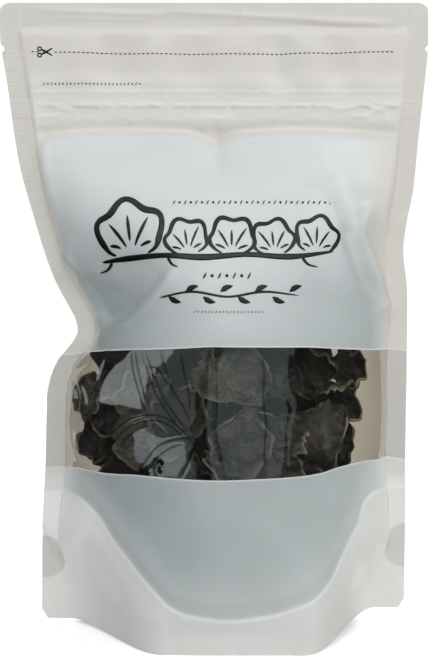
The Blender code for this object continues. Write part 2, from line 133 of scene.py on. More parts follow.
# Dried wood ears at the window: (x, height, radius, turn, tilt, curl), in mm and degrees
WINDOW_EARS = (
    (7, 104, 12.5, 20, -8, -95), (-27, 95, 9.5, 130, 15, -120), (-12, 89, 9, 60, -12, -100),
    (38, 78, 12, 100, 10, -105), (24, 81, 9, 200, -15, -125), (10, 78, 11, 330, 8, -90),
    (-17, 81, 9, 20, 12, -85), (-29, 78, 8.5, 240, -10, -100), (48, 90, 10, 75, 15, 125),
    (36, 104, 11, 300, -12, 110), (-35, 104, 13, 160, 8, 80), (4.5, 69.5, 6.5, 45, 0, -120),
    (20, 104, 12, 250, 0, 90), (20, 92, 10.5, 140, 10, 105), (-3, 94, 9.5, 90, -10, 115),
    (-17, 106, 11.5, 200, 5, 95), (44, 73, 11, 10, -8, 95), (-45, 75, 10, 280, 10, 100),
    (-46, 92, 9, 110, -8, -115), (-36, 85, 11, 45, 6, 100), (-3, 72, 9, 310, -12, 100),
    (33, 93, 11, 215, 8, -100), (52, 104, 8, 60, 10, 120), (-36, 68, 10, 150, 0, -95),
    (22, 67, 10, 80, 10, -90), (-15, 69, 10, 30, -10, 95),
)
EAR_COUNT = 53
EAR_SIDES = 5
EAR_ROUNDING = 0.42
HEAP_COLUMNS, HEAP_SPACING = 5, 25 * MM
HEAP_LEVELS = (
    (34 * MM, 56 * MM), (36 * MM, 60 * MM, 84 * MM, 107 * MM), (30 * MM, 56 * MM, 82 * MM, 106 * MM),
)
HEAP_RADIUS, HEAP_CURL = (12, 15.5), (80, 130)
HEAP_SHIFT, HEAP_TILT = 3, 15
POUCH_MIDDLE = 4 * MM
HEAP_SEED = 7
EAR_OVAL, EAR_LOBES, EAR_SWAY = 0.88, 0.09, 0.07
EAR_CUP, EAR_RUFFLE = 0.18, 0.11
LOBE_TURN, RUFFLE_TURN = 1.7, 2.9

# ---- The fine film -----------------------------------------------------------------------------
# How thick the fine film is, and how far a grid's last step is from its rim, as a share of the grid
SKIN, RIM_STEP = 0.22 * MM, 0.0005
TOP_RADIUS = 4.2 * MM
# How far the film is pinched in its seals and drawn in beside the header's, and the deepest that a
# fold goes in a seal and, past that, on the open film
SEAL_PINCH, HEADER_EASE = 0.15 * MM, 0.14 * MM
SEAL_SINK, OPEN_SINK = 0.12 * MM, 6 * MM
# The shares of the way to a side seal over which the open film ends
OPEN_FILM_END = (0.96, 1.0)
# How much flatter than its solid the film is over the curved seal
FOOT_EASE = 0.5 * MM
# The level ribs that the sealing bars press into the side seals
RIB_PITCH, RIB_DEPTH = 0.95 * MM, 0.028 * MM

# Edges of the clear band: (x, height), in mm
WINDOW_LOW = (
    (-70, 62.8), (-59, 63.4), (-52, 65.4), (-43, 65.4), (-27, 66.4), (2, 65.8), (17, 66.2),
    (31, 66.3), (39, 66.8), (47, 68.3), (56, 68.9), (64, 68.0), (77, 66),
)
WINDOW_HIGH = (
    (-68, 106.6), (-53, 108.6), (-44, 110), (-31, 111.5), (-12, 112.9), (0, 113.6), (31, 113.4),
    (47, 112.3), (63, 110.8), (77, 109.6),
)

# Folds: a line through (x, height) points, its width and how far it rises, all in mm
HEADER_FOLDS = (
    (((-71, 243.4), (-55, 242.6), (-33, 241.8), (-18, 241.4)), 1.3, 0.33),
    (((-66, 240.4), (-40, 239.6), (-22, 239.4)), 1.1, 0.18),
    (((-22, 242.8), (-2, 241.8), (18, 240.6), (33, 239.8)), 1.2, 0.33),
    (((20, 240.8), (38, 239.4), (54, 238.4), (70, 237.8)), 1.4, 0.54),
    (((30, 237.8), (48, 236.6), (66, 236.1)), 1.2, -0.33),
    (((-60, 237.6), (-30, 236.9), (0, 237.2)), 1.2, 0.15),
    (((9, 236), (11, 241), (12, 245)), 1.2, 0.21),
    (((42, 206.2), (50, 204.6), (58, 206.0), (66, 203.6)), 0.8, 0.24),
    (((52, 203), (58, 201.6), (64, 204.0), (71, 206.6)), 0.8, 0.24),
    (((60, 208.6), (66, 206.4), (72, 208.4)), 0.8, 0.18),
    (((-70, 207.6), (-62, 204.8), (-54, 204.2)), 0.8, 0.18),
    (((-72, 199.6), (-66, 202.0), (-58, 201.6)), 0.9, 0.21),
    (((-8, 202.4), (0, 200.2), (8, 202.2)), 1.6, 0.24),
)
# The crease under the header, from seal to seal: (x, height), in mm, how far the blown body stands
# forward of it, and how deep the header sinks over it
CREASE = (
    (-71, 192.6), (-60, 195.6), (-38, 196.6), (-12, 195.8), (0, 192.4), (10, 195.4), (30, 196.9),
    (52, 196.2), (72, 194.6),
)
CREASE_STEP, CREASE_SINK = 1.0 * MM, 0.7 * MM
BODY_FOLDS = (
    (CREASE[:5], 0.9, 0.25),
    (CREASE[4:], 0.9, 0.25),
    (((-70, 189.5), (-50, 191.4), (-28, 192.2), (-10, 191)), 3.4, 0.2),
    (((12, 191), (30, 192.4), (50, 191.6), (71, 190.6)), 3.4, 0.45),
    (((0, 199), (0.6, 193), (0, 187)), 2.6, -0.9),
    (((-60, 151), (-52, 145), (-42, 139.5), (-31, 136)), 4.6, 1.6),
    (((-69, 193.6), (-66, 184), (-64, 172), (-61, 158), (-56, 146), (-46, 134)), 2.4, 1.08),
    (((-43.5, 127), (-44.5, 122), (-48, 117), (-53, 113.5), (-58, 110.5)), 2.5, 1.0),
    (((-52, 128), (-51, 123), (-53, 118), (-57, 114)), 1.8, -0.6),
    (((-60, 139), (-56, 145.6), (-51, 140)), 1.3, 0.47),
    (((-57.5, 147), (-54.8, 142), (-53.4, 137)), 1.0, -0.8),
    (((-16.5, 147), (-22, 139.5), (-28, 132), (-35, 126), (-42, 121)), 3.4, -1.5),
    (((-12.5, 143.5), (-17.5, 136), (-24, 128.5), (-31, 122), (-39, 117), (-46, 113)), 3.4, 1.9),
    (((-23, 146), (-31, 138), (-40, 130)), 7.0, -1.0),
    (((-31, 122), (-38, 117), (-48, 113)), 1.6, 0.54),
    (((71, 195), (70, 183), (67, 168), (66, 156)), 1.8, 0.95),
    (((60, 166), (56.5, 159), (57, 152), (61, 142), (66, 129.5), (67.5, 119)), 2.4, 1.9),
    (((51, 160), (52.5, 151), (56, 142), (61, 130)), 3.2, -2.0),
    (((62, 158), (64, 150), (67, 141), (70, 133)), 2.4, -0.5),
    (((45, 179), (50, 170), (53, 161)), 4.0, -1.3),
    (((37, 176), (42, 166), (48, 156)), 3.6, 0.8),
    (((62, 124), (66, 129), (70, 126)), 1.2, 0.54),
    (((-27, 115), (-23, 119), (-19, 123)), 0.7, 0.14),
    (((-20, 116), (-17, 120)), 0.6, 0.11),
    (((1, 120.5), (5, 122), (8.5, 124.5)), 0.7, 0.14),
    (((17, 189), (14, 193)), 0.8, 0.22),
    (((-36, 186), (-20, 184), (-2, 188)), 4.0, 0.47),
    (((-10, 176), (8, 172), (26, 175)), 5.0, 0.41),
)
WINDOW_FOLDS = (
    (((-39.8, 113), (-42.6, 105.9), (-45.3, 99)), 0.7, 0.3),
    (((-31, 113), (-29.5, 104), (-27.1, 96.2), (-24.4, 89.6)), 0.5, -0.033),
    (((-29.4, 113), (-27.6, 104), (-25.2, 96.3), (-22.5, 89.2)), 0.5, -0.03),
    (((-27.4, 113), (-23.7, 103.2), (-20.3, 95.1), (-15.2, 88.1), (-10.1, 82.5)), 0.55, -0.039),
    (((-25.9, 113), (-21.9, 103.3), (-18.1, 95.2), (-13, 87.8), (-8.6, 82.6)), 0.5, -0.033),
    (((-19.8, 113), (-17.4, 105.2), (-15.2, 98.9), (-10.1, 90.4), (-7.9, 84)), 0.5, -0.027),
    (((-12.3, 113), (-10.8, 104.7), (-9, 96.5), (-8.6, 89.4)), 0.5, -0.021),
    (((-24.2, 105.7), (-21.1, 105.8), (-18.1, 102.3), (-15.2, 98.1)), 0.5, 0.015),
    (((-41.2, 75.7), (-36.3, 82.3), (-30.9, 86.5), (-24, 88.8), (-17.7, 88), (-12.2, 84.6),
      (-7.9, 80.4)), 0.5, -0.036),
    (((-39.6, 75.2), (-34.8, 80.6), (-29.3, 84.8), (-23.3, 86.8), (-17.7, 86.3), (-13, 83.1),
      (-8.6, 79.3)), 0.5, -0.03),
    (((-35.6, 73.8), (-32.4, 79), (-27.8, 83.1), (-22.5, 85.2)), 0.6, 0.018),
    (((-29.4, 64), (-24.8, 72), (-20.3, 77.6), (-15.2, 80.3), (-9.4, 81.1), (-6.8, 79)), 0.5, -0.033),
    (((-26.3, 64), (-22.5, 71), (-18.1, 75.6), (-13.7, 78.1), (-10.1, 78.7)), 0.5, -0.027),
    (((-12.8, 65), (-9.2, 72), (-7.4, 77)), 0.6, -0.036),
    (((-20.6, 66.4), (-20.9, 69.8), (-19, 72.6)), 1.3, -0.5),
    (((17.3, 113), (18, 103.4), (17.6, 94.8), (18.7, 85.8), (18, 76.8), (18.4, 66)), 0.6, -0.033),
    (((26.7, 113), (26.8, 101.7), (28.6, 94.5), (29.7, 90.1), (28.2, 83.6), (27.5, 66)), 0.8, 0.16),
    (((-1.2, 113), (-0.7, 106.2), (-0.4, 94.8), (-0.7, 84.1), (0.7, 77), (3.6, 67)), 0.8, -0.16),
    (((-58.2, 101.2), (-54.7, 94.1), (-55.6, 86.2), (-55.6, 79.2), (-53.5, 71.2), (-51.7, 65)), 1.1, 0.7),
    (((-56.4, 101), (-52.7, 93.1), (-53.6, 85.2), (-53.4, 78.2), (-51.5, 70.2)), 1.0, -0.5),
    (((-46, 109.6), (-51.9, 106.4), (-57.4, 102)), 1.1, 0.6),
    (((-47.6, 107), (-52.4, 103.8), (-57, 99)), 1.0, -0.4),
    (((-59, 98.8), (-57, 95.9), (-57.9, 91.8)), 0.9, 0.4),
    (((-52.9, 98.9), (-49.9, 93.8), (-48.9, 87.4)), 0.9, 0.35),
    (((53.4, 106.3), (56, 103.8), (58.3, 99.8)), 0.6, 0.045),
    (((63.4, 112), (64.7, 91.1), (63.9, 66)), 1.3, 0.35),
)
# The sharpest of them, which also get thin dark lines of painted shade of that width
SHARP_WIDTH, SHARP_LINE = 0.65, 0.3
CREASE_SHADE_LINES = tuple((points, SHARP_LINE, 1.0) for points, width, _ in WINDOW_FOLDS if width < SHARP_WIDTH)
FOOT_FOLDS = (
    (((-68, 34), (-60, 37), (-52, 33)), 11, 2.4),
    (((54, 35), (64, 38), (74, 34)), 11, 1.8),
    (((-57, 54), (-50, 58), (-52, 64)), 1.8, 0.35),
    (((66, 56), (61, 60), (62, 67)), 1.8, 0.4),
    (((-36, 49.8), (-10, 49.2), (20, 49.4), (47, 49.2)), 0.8, 0.04),
    (((-50, 58), (-45, 49), (-36, 38), (-28, 29)), 4.2, -0.7),
    (((57, 58), (53, 48), (48, 36), (42, 27)), 4.2, -0.5),
    (((51, 45), (49, 38), (50.5, 31)), 1.4, -0.16),
    (((45, 47), (44, 38), (46, 30)), 1.2, 0.12),
)
# Folds of the unseen back, of the same kind
BACK_FOLDS = (
    (((-70, 195.2), (-48, 196.6), (-14, 196.2), (-4, 193)), 1.8, 0.30),
    (((-4, 193), (10, 196.2), (40, 196.6), (72, 194.6)), 1.8, 0.30),
    (((-70, 193), (-66, 176), (-58, 160), (-50, 150)), 2.6, 0.9),
    (((72, 192), (66, 176), (60, 160), (49, 146)), 2.6, 0.9),
    (((-52, 150), (-40, 141), (-26, 136)), 2.8, -0.9),
    (((50, 146), (40, 132), (24, 126)), 3.0, 1.0),
    (((-56, 112), (-47, 118), (-38, 128)), 1.8, 0.9),
    (((-58, 118), (-50, 122), (-42, 131)), 1.6, -0.6),
    (((66, 120), (58, 112), (46, 108)), 2.0, 0.7),
    (((62, 92), (44, 84), (20, 82), (0, 88)), 3.2, 0.8),
    (((-54, 78), (-36, 84), (-20, 96)), 3.0, 0.7),
    (((-46, 56), (-20, 60), (10, 57), (40, 60)), 3.0, 0.35),
    (((-8, 176), (4, 160), (2, 142)), 3.6, 0.5),
)
# Flat, paler patches in the foot's seal where the films didn't bond: (x, height, half width, half
# height, lean), and the two round spots where the gusset's corners are welded: (x, height, radius)
LOOSE_PATCHES = (
    (-51.8, 25, 2.3, 4.4, 0.25), (-39, 19.5, 4.0, 6.0, 0.35), (64.9, 30.5, 2.4, 4.4, 0.1),
    (56.5, 21.4, 2.8, 6.4, -0.3), (-52.5, 44.5, 1.2, 1.8, 0), (-61, 12.5, 2.4, 2.2, 0),
)
CORNER_SPOTS = ((-67.5, 27, 8.6), (76.4, 31.6, 8.9))
# Soft waves of the header between the zip and the top seal: (x, width, lift), in mm
HEADER_WAVES = (
    (-52, 7, 0.65), (-38, 8, -0.8), (-22, 7, 0.65), (-8, 6, -0.5), (7, 8, 0.65), (25, 5, -1.0),
    (36, 6, 0.8), (48, 5, -0.65), (58, 6, 0.65),
)


def ramp(value, start, end):
    """0 before start, 1 after end, and a smooth S between them."""
    t = np.clip((value - start) / (end - start), 0.0, 1.0)
    return t * t * (3.0 - 2.0 * t)


def bell(value, width):
    """1 at 0 and gone a little past two widths away: exp(-(value / width)^2)."""
    return np.exp(-((value / width) ** 2))


def follow(points, value):
    """The smooth curve through (value, result) points in mm, level wherever it turns back."""
    xs, ys = (np.array(c, float) * MM for c in zip(*points))
    slopes = np.diff(ys) / np.diff(xs)
    before, after = slopes[:-1], slopes[1:]
    turning = before * after <= 0
    mean = 2 * before * after / np.where(turning, 1.0, before + after)
    tangents = np.concatenate([slopes[:1], np.where(turning, 0.0, mean), slopes[-1:]])
    i = np.clip(np.searchsorted(xs, value) - 1, 0, len(xs) - 2)
    width = xs[i + 1] - xs[i]
    t = np.clip((value - xs[i]) / width, 0.0, 1.0)
    return (
        (1 + 2 * t) * (1 - t) ** 2 * ys[i]
        + t * (1 - t) ** 2 * width * tangents[i]
        + t * t * (3 - 2 * t) * ys[i + 1]
        - t * t * (1 - t) * width * tangents[i + 1]
    )


def seams(height):
    """x of the pouch's middle line and half its width at a height."""
    left, right = follow(LEFT_SEAM, height), follow(RIGHT_SEAM, height)
    return (left + right) / 2, (right - left) / 2


def inner(side, height):
    """How far across the space between the side seals, 0 in the middle to 1 at a seal."""
    half = seams(height)[1]
    return np.clip(np.abs(side) / (1 - SIDE_SEAL / half), 0.0, 1.0)


def corner_share(side):
    """0 where the foot runs level along the pouch's front and back, 1 at its two corners."""
    return ramp(-side, *LEFT_FOOT) + ramp(side, *RIGHT_FOOT)


def bulge(side, height):
    """The belly's share of its full depth: bowed at the foot, domed above it, square at the top."""
    power = ROUND_DOME + (SQUARE_DOME - ROUND_DOME) * ramp(height, SHOULDER_FROM, SHOULDER_TO)
    dome = (1 - inner(side, height) ** power) ** DOME_SIDE
    foot = 1 - corner_share(side)
    return foot + (dome - foot) * ramp(height, FOOT_WALL, FOOT_FADE)


def seal_line(side, panel):
    """Height of the curved gusset seal: low in the middle, high at both sides."""
    middle, half = seams(np.full_like(side, FOOT_MIDDLE))
    return follow(panel.seal_curve, middle + side * half)


def half_gap(side, height):
    """Half the space between the panels where nothing fills the pouch: seals, header and zip."""
    closed = GUSSET_HALF_GAP + (SEALED_HALF_GAP - GUSSET_HALF_GAP) * ramp(height, *GUSSET_EASE)
    header = HEADER_HALF_GAP + (SEALED_HALF_GAP - HEADER_HALF_GAP) * ramp(height, *TOP_SEAL_EASE)
    at_zip = ramp(height, *BELOW_ZIP_EASE) * (1 - ramp(height, *ABOVE_ZIP_EASE))
    open_gap = header + (ZIP_HALF_GAP - header) * at_zip
    return closed + (open_gap - closed) * ramp(1 - inner(side, height), 0.0, SIDE_SEAL_EASE)


def pushed_in(x, z, panel):
    """How far the film is pushed in by its hollows, deepest in their middle, and by its broad
    creases, deepest on a straight line and gone past its ends."""
    x, z = x / MM, z / MM
    total = np.zeros_like(x)
    for middle_x, middle_z, half_width, half_height, depth in panel.hollows:
        away = ((x - middle_x) / half_width) ** 2 + ((z - middle_z) / half_height) ** 2
        total = total + depth * np.exp(-away)
    for x0, z0, x1, z1, width, depth in panel.creases:
        run_x, run_z = x1 - x0, z1 - z0
        t = np.clip(((x - x0) * run_x + (z - z0) * run_z) / (run_x**2 + run_z**2), 0.0, 1.0)
        away = (x - x0 - t * run_x) ** 2 + (z - z0 - t * run_z) ** 2
        total = total + depth * np.exp(-away / width**2)
    return total * MM


def panel_depth(side, height, panel):
    """Distance of a panel's inner face from the plane of the seams."""
    middle, half = seams(height)
    share = bulge(side, height)
    puff = PUFF * ramp(height - seal_line(side, panel), 0, PUFF_WIDTH)
    puff = puff * (1 - ramp(height, SHOULDER_FROM, SHOULDER_TO)) * ramp(share, *PUFF_EASE)
    pushed = pushed_in(middle + side * half, height, panel) * ramp(share, *DENT_EASE)
    belly = follow(BELLY, height) * share
    return half_gap(side, height) + belly + puff - np.minimum(pushed, belly * DENT_LIMIT)


def corner_rounding(x, z):
    """Moves the top corners' outer square onto a quarter circle: a point at (a, b) from the
    circle's middle keeps its direction and takes max(a, b) as its distance."""
    left, right = LEFT_SEAM[-1][1] * MM, RIGHT_SEAM[-1][1] * MM
    b = (z - (POUCH_HEIGHT - TOP_RADIUS)) / TOP_RADIUS
    for corner, sign in ((left, -1), (right, 1)):
        a = 1 - sign * (corner - x) / TOP_RADIUS
        inside = (a > 0) & (b > 0)
        shrink = np.where(inside, np.maximum(a, b) / np.maximum(np.hypot(a, b), 1e-9), 1.0)
        x = np.where(inside, x + sign * a * (shrink - 1) * TOP_RADIUS, x)
        z = np.where(inside, z + b * (shrink - 1) * TOP_RADIUS, z)
    return x, z


def lifted(side, height):
    """Height in the foot with the corners' lift above the surface, as in the part."""
    lift = np.where(side < 0, LEFT_LIFT, RIGHT_LIFT)
    return height + lift * corner_share(side) * (1 - ramp(height, 0, LIFT_FADE))


def panel_point(side, height, panel):
    """A point of a panel's inner face, with the tear notches, the lifted corners and their cuts,
    as in the part, and round corners at the top."""
    middle, half = seams(height)
    edge = ramp(np.abs(side), CORNER_CUT_SIDE, 1)
    notch = NOTCH_DEPTH * np.clip(1 - np.abs(height - NOTCH_HEIGHT) / NOTCH_HALF, 0, 1)
    x = middle + side * half - np.sign(side) * edge * notch
    cut = CORNER_CUT_RISE * edge * (1 - ramp(height, 0, CORNER_CUT_HEIGHT))
    x, z = corner_rounding(x, lifted(side, height) + cut)
    return np.stack([x, panel.facing * panel_depth(side, height, panel), z], axis=-1)


# ---- Patterns and folds, worked out as whole arrays --------------------------------------------
# How many random values a lattice has each way before it repeats
LATTICE = 61
# How much coarse and fine cells count in creased noise, and how much smaller the fine ones are
COARSE, FINE, FINE_SIZE = 0.7, 0.3, 0.45
# The share of a fold's length over which it fades at each end, and what is left of its lift there
FOLD_FADE, FOLD_END = 0.2, 0.15


def cloud(x, y, size, seed):
    """Smooth noise between -1 and 1: random values on a square lattice of that size, joined by
    S-shaped steps."""
    table = np.random.default_rng(seed).uniform(-1, 1, (LATTICE, LATTICE))
    i, j = np.floor(x / size).astype(int), np.floor(y / size).astype(int)
    s, t = ramp(x / size - i, 0, 1), ramp(y / size - j, 0, 1)

    def at(column, row):
        return table[column % LATTICE, row % LATTICE]

    low = at(i, j) * (1 - s) + at(i + 1, j) * s
    high = at(i, j + 1) * (1 - s) + at(i + 1, j + 1) * s
    return low * (1 - t) + high * t


def crumple(x, y, size, seed):
    """Creased noise from 0 to 1: sharp ridges where smooth noise passes zero, in two sizes."""
    coarse = 1 - np.abs(cloud(x, y, size, seed))
    fine = 1 - np.abs(cloud(x + y, y - x, size * FINE_SIZE, seed + 1))
    return COARSE * coarse**2 + FINE * fine**2


def band(value, rise, fade):
    """1 between a rise and a fade, which are (start, end), with a smooth S over each."""
    return ramp(value, *rise) * (1 - ramp(value, *fade))


def ridges(lines, value):
    """Straight ridges across value, added up: each is (place, width, lift), in mm."""
    return sum(lift * MM * bell(value - place * MM, width * MM) for place, width, lift in lines)


def smooth_path(points, steps=10):
    """Points along the Catmull-Rom curve through the given ones."""
    p = np.array(points, float)
    p = np.concatenate([2 * p[:1] - p[1:2], p, 2 * p[-1:] - p[-2:-1]])
    t = np.linspace(0, 1, steps, endpoint=False)[:, None, None]
    a, b, c, d = p[:-3], p[1:-2], p[2:-1], p[3:]
    curve = 0.5 * (
        2 * b + (c - a) * t + (2 * a - 5 * b + 4 * c - d) * t**2 + (3 * b - a - 3 * c + d) * t**3
    )
    return np.concatenate([curve.transpose(1, 0, 2).reshape(-1, p.shape[1]), p[-2:-1]])


def raised_by(folds, x, z):
    """How far folds lift the film at (x, z): along each fold's smooth line its full lift, falling
    off as a bell across it and fading over its last fifths."""
    total = np.zeros_like(x)
    for points, width, lift in folds:
        path = smooth_path(points) * MM
        reach = 3 * width * MM
        low, high = path.min(axis=0) - reach, path.max(axis=0) + reach
        near = (x > low[0]) & (x < high[0]) & (z > low[1]) & (z < high[1])
        if not near.any():
            continue
        place = np.stack([x[near], z[near]], axis=-1)[:, None]
        start, run = path[:-1], np.diff(path, axis=0)
        t = ((place - start) * run).sum(-1) / (run**2).sum(-1)
        away = np.linalg.norm(place - start - np.clip(t, 0, 1)[..., None] * run, axis=-1)
        nearest = away.argmin(axis=1)
        along = (nearest + np.clip(t[np.arange(len(t)), nearest], 0, 1)) / len(run)
        fade = ramp(along, 0, FOLD_FADE) * (1 - ramp(along, 1 - FOLD_FADE, 1))
        across = lift * MM * bell(away.min(axis=1), width * MM)
        total[near] += across * (FOLD_END + (1 - FOLD_END) * fade)
    return total


# The zip's ridges as they show through the film: (height, width, lift), in mm, how wide its jags
# are, and from where to where its welded ends show in the side seals, and how far they stand out
ZIP_RIDGES = ((205.9, 0.8, 0.50), (211.2, 0.9, 0.15), (200.2, 1.4, 0.16))
ZIP_JAG = 2.0 * MM
ZIP_END_RISE, ZIP_END_FADE = (200.8 * MM, 201.6 * MM), (207.8 * MM, 208.6 * MM)
ZIP_END_LIFT = 0.16 * MM
# Where the header's waves rise over the zip and fade under the top seal
WAVES_RISE, WAVES_FADE = (209 * MM, 219 * MM), (228 * MM, 237 * MM)
# The crinkles round the zip: their lift and size, the height they lie at and how far they reach
CRINKLE_LIFT, CRINKLE_SIZE = 0.20 * MM, 7 * MM
CRINKLE_HEIGHT, CRINKLE_REACH = 204 * MM, 6 * MM


def header_relief(side, height, x):
    """The zip showing through the film as a jagged ridge between two faint ones, soft upright
    waves above it, and the top seal's wrinkles."""
    open_film = 1 - ramp(inner(side, height), *OPEN_FILM_END)
    zip_ridges = ridges(ZIP_RIDGES, height) * (1 + cloud(x, height, ZIP_JAG, 3))
    waves = ridges(HEADER_WAVES, x) * band(height, WAVES_RISE, WAVES_FADE)
    crinkles = CRINKLE_LIFT * crumple(x, height * 2, CRINKLE_SIZE, 5)
    crinkles = crinkles * bell(height - CRINKLE_HEIGHT, CRINKLE_REACH)
    zip_ends = ZIP_END_LIFT * band(height, ZIP_END_RISE, ZIP_END_FADE)
    folds = raised_by(HEADER_FOLDS, x, height)
    return open_film * (zip_ridges + waves + crinkles) + folds + (1 - open_film) * zip_ends


def loose_patches(x, z):
    """1 in the foot's loose patches and 0 outside them: leaning ellipses with soft edges."""
    share = np.zeros_like(x)
    for place, height, half_width, half_height, lean in LOOSE_PATCHES:
        right, up = x / MM - place, z / MM - height
        across = (right * math.cos(lean) + up * math.sin(lean)) / half_width
        along = (up * math.cos(lean) - right * math.sin(lean)) / half_height
        share = np.maximum(share, 1 - ramp(across**2 + along**2, 0.7, 1.15))
    return share


def corner_spots(x, z, edge):
    """1 inside the round welded spots, with an edge that wide, in mm."""
    share = np.zeros_like(x)
    for place, height, radius in CORNER_SPOTS:
        away = np.hypot(x / MM - place, z / MM - height)
        share = np.maximum(share, 1 - ramp(away, radius - edge, radius + edge))
    return share


# The lip along the curved seal, a fine ridge on a broad one: (place over the line, width, lift), in
# mm, the belly's share over which it grows, and where the flatter film over it ends
LIP_RIDGES, LIP_EASE = ((0.1, 0.9, 0.30), (-0.8, 2.4, 0.34)), (0.05, 0.3)
FOOT_EASE_END = (58 * MM, 80 * MM)
# How far a loose patch stands out and a welded spot sinks, and how wide a spot's edge is, in mm
PATCH_LIFT, SPOT_SINK, SPOT_EDGE = 0.10 * MM, 0.06 * MM, 0.4


def foot_relief(side, height, x, panel):
    """A broad low ridge with a fine one on it along the curved seal, the foot's folds, its loose
    patches and the corners' round weld spots, a little sunk."""
    over = height - seal_line(side, panel)
    total = ridges(LIP_RIDGES, over) * ramp(bulge(side, height), *LIP_EASE)
    total = total - FOOT_EASE * ramp(over, 0, PUFF_WIDTH) * (1 - ramp(height, *FOOT_EASE_END))
    if panel is FRONT:
        z = lifted(side, height)
        total = total + raised_by(FOOT_FOLDS, x, z)
        total = total + PATCH_LIFT * loose_patches(x, z) - SPOT_SINK * corner_spots(x, z, SPOT_EDGE)
    return total


# The blown body's step under the header: the heights over which it grows, how it ends across the
# crease and towards the side seals, and the place over the crease and width of the header's sink
STEP_RISE, STEP_END, STEP_SIDE = (158 * MM, 188 * MM), (-3.4 * MM, 0.4 * MM), (0.93, 1.0)
SINK_PLACE, SINK_WIDTH = 1.0 * MM, 2.6 * MM


def crease_step(height, x, share):
    """The blown body standing forward of the crease under the header, and the header's shallow
    sink over it."""
    over = height - follow(CREASE, x)
    stands_out = ramp(height, *STEP_RISE) * (1 - ramp(over, *STEP_END))
    step = CREASE_STEP * stands_out - CREASE_SINK * bell(over - SINK_PLACE, SINK_WIDTH)
    return step * (1 - ramp(share, *STEP_SIDE))


# Slight crumpling, as (lift, size): broad dents that are low and wide on the belly, small ones all
# over, and short level puckers beside the side seals, with their place, reach and stretch
DENTS, SMALL_DENTS, PUCKERS = (0.28 * MM, 17 * MM), (0.03 * MM, 5 * MM), (0.22 * MM, 4.6 * MM)
DENT_STRETCH, BELLY_RISE, BELLY_END = 0.6, (0.02, 0.25), (190 * MM, 197 * MM)
PUCKER_PLACE, PUCKER_REACH, PUCKER_STRETCH, PUCKER_END = 0.93, 0.06, 0.3, (186 * MM, 196 * MM)


def crumpling(side, height, x, share, panel):
    """Broad dents of the belly, small ones all over and puckers along the side seals."""
    belly = ramp(bulge(side, height), *BELLY_RISE) * (1 - ramp(height, *BELLY_END))
    lift, size = DENTS
    total = lift * belly * cloud(x, height * DENT_STRETCH, size, 11 + panel.facing)
    lift, size = SMALL_DENTS
    total = total + lift * cloud(x, height, size, 17)
    pucker = bell(share - PUCKER_PLACE, PUCKER_REACH) * (1 - ramp(height, *PUCKER_END))
    lift, size = PUCKERS
    return total + lift * pucker * cloud(x * PUCKER_STRETCH, height, size, 23 + panel.facing)


# The pinch of the side seals: over which share and heights it grows and fades, that of the top seal
# as a share of it, and where the film is drawn in beside the header's seals
PINCH_SHARE, PINCH_RISE, PINCH_FADE = (0.995, 1.0), (56 * MM, 62 * MM), (188 * MM, 198 * MM)
TOP_PINCH, TOP_PINCH_RISE = 0.5, (POUCH_HEIGHT - TOP_SEAL - 3 * MM, POUCH_HEIGHT - TOP_SEAL)
DRAWN_SHARE, DRAWN_RISE = (0.94, 0.995), (214 * MM, 218 * MM)


def drawn_by_seals(height, share):
    """How far the film is pinched in its seals and drawn in beside the header's."""
    sides = ramp(share, *PINCH_SHARE) * band(height, PINCH_RISE, PINCH_FADE)
    pinch = SEAL_PINCH * np.maximum(sides, TOP_PINCH * ramp(height, *TOP_PINCH_RISE))
    return pinch + HEADER_EASE * ramp(height, *DRAWN_RISE) * band(share, DRAWN_SHARE, PINCH_SHARE)


# Where folds are smoothed over the side seals' inner edge at the waist: the share and its width,
# the heights, and how much of them goes
WAIST_SHARE, WAIST_WIDTH, WAIST_SMOOTHING = 0.99, 0.03, 0.85
WAIST_RISE, WAIST_FADE = (103 * MM, 107 * MM), (117 * MM, 123 * MM)


def film_relief(side, height, panel):
    """How far the fine film stands out from the part's smooth film: its folds, the zip, the foot
    and a slight crumpling all over, no deeper in a seal than the other film lets it."""
    middle, half = seams(height)
    x = middle + side * half
    share = inner(side, height)
    folds = BODY_FOLDS + WINDOW_FOLDS if panel is FRONT else BACK_FOLDS
    smoothed = bell(share - WAIST_SHARE, WAIST_WIDTH) * band(height, WAIST_RISE, WAIST_FADE)
    total = raised_by(folds, x, height) * (1 - WAIST_SMOOTHING * smoothed)
    total = total + header_relief(side, height, x) + foot_relief(side, height, x, panel)
    if panel is FRONT:
        total = total + crease_step(height, x, share)
    total = total + crumpling(side, height, x, share, panel)
    most_sunk = SEAL_SINK + OPEN_SINK * (1 - ramp(share, *OPEN_FILM_END))
    return np.maximum(total, -most_sunk) - drawn_by_seals(height, share)


def unit(vectors):
    return vectors / np.linalg.norm(vectors, axis=-1, keepdims=True)


def sheet_normal(points):
    """The unit normal of a grid of points: the cross product of its column and row steps."""
    return unit(np.cross(np.gradient(points, axis=1), np.gradient(points, axis=0)))


def film_normal(side, height, panel):
    """The outward unit normal of a panel's inner face: the cross product of two small steps along
    it, one across and one up."""
    step = 0.25 * MM
    turn = step / seams(height)[1]
    right, left = (panel_point(np.clip(side + way, -1, 1), height, panel) for way in (turn, -turn))
    above = panel_point(side, np.minimum(height + step, POUCH_HEIGHT), panel)
    below = panel_point(side, np.maximum(height - step, 0), panel)
    return unit(np.cross(right - left, above - below)) * -panel.facing


# ---- Meshes ------------------------------------------------------------------------------------
def quads_of(corner):
    """The faces of a grid of corner numbers, each as going right, then up."""
    faces = [corner[:-1, :-1], corner[:-1, 1:], corner[1:, 1:], corner[1:, :-1]]
    return np.stack(faces, axis=-1).reshape(-1, 4)


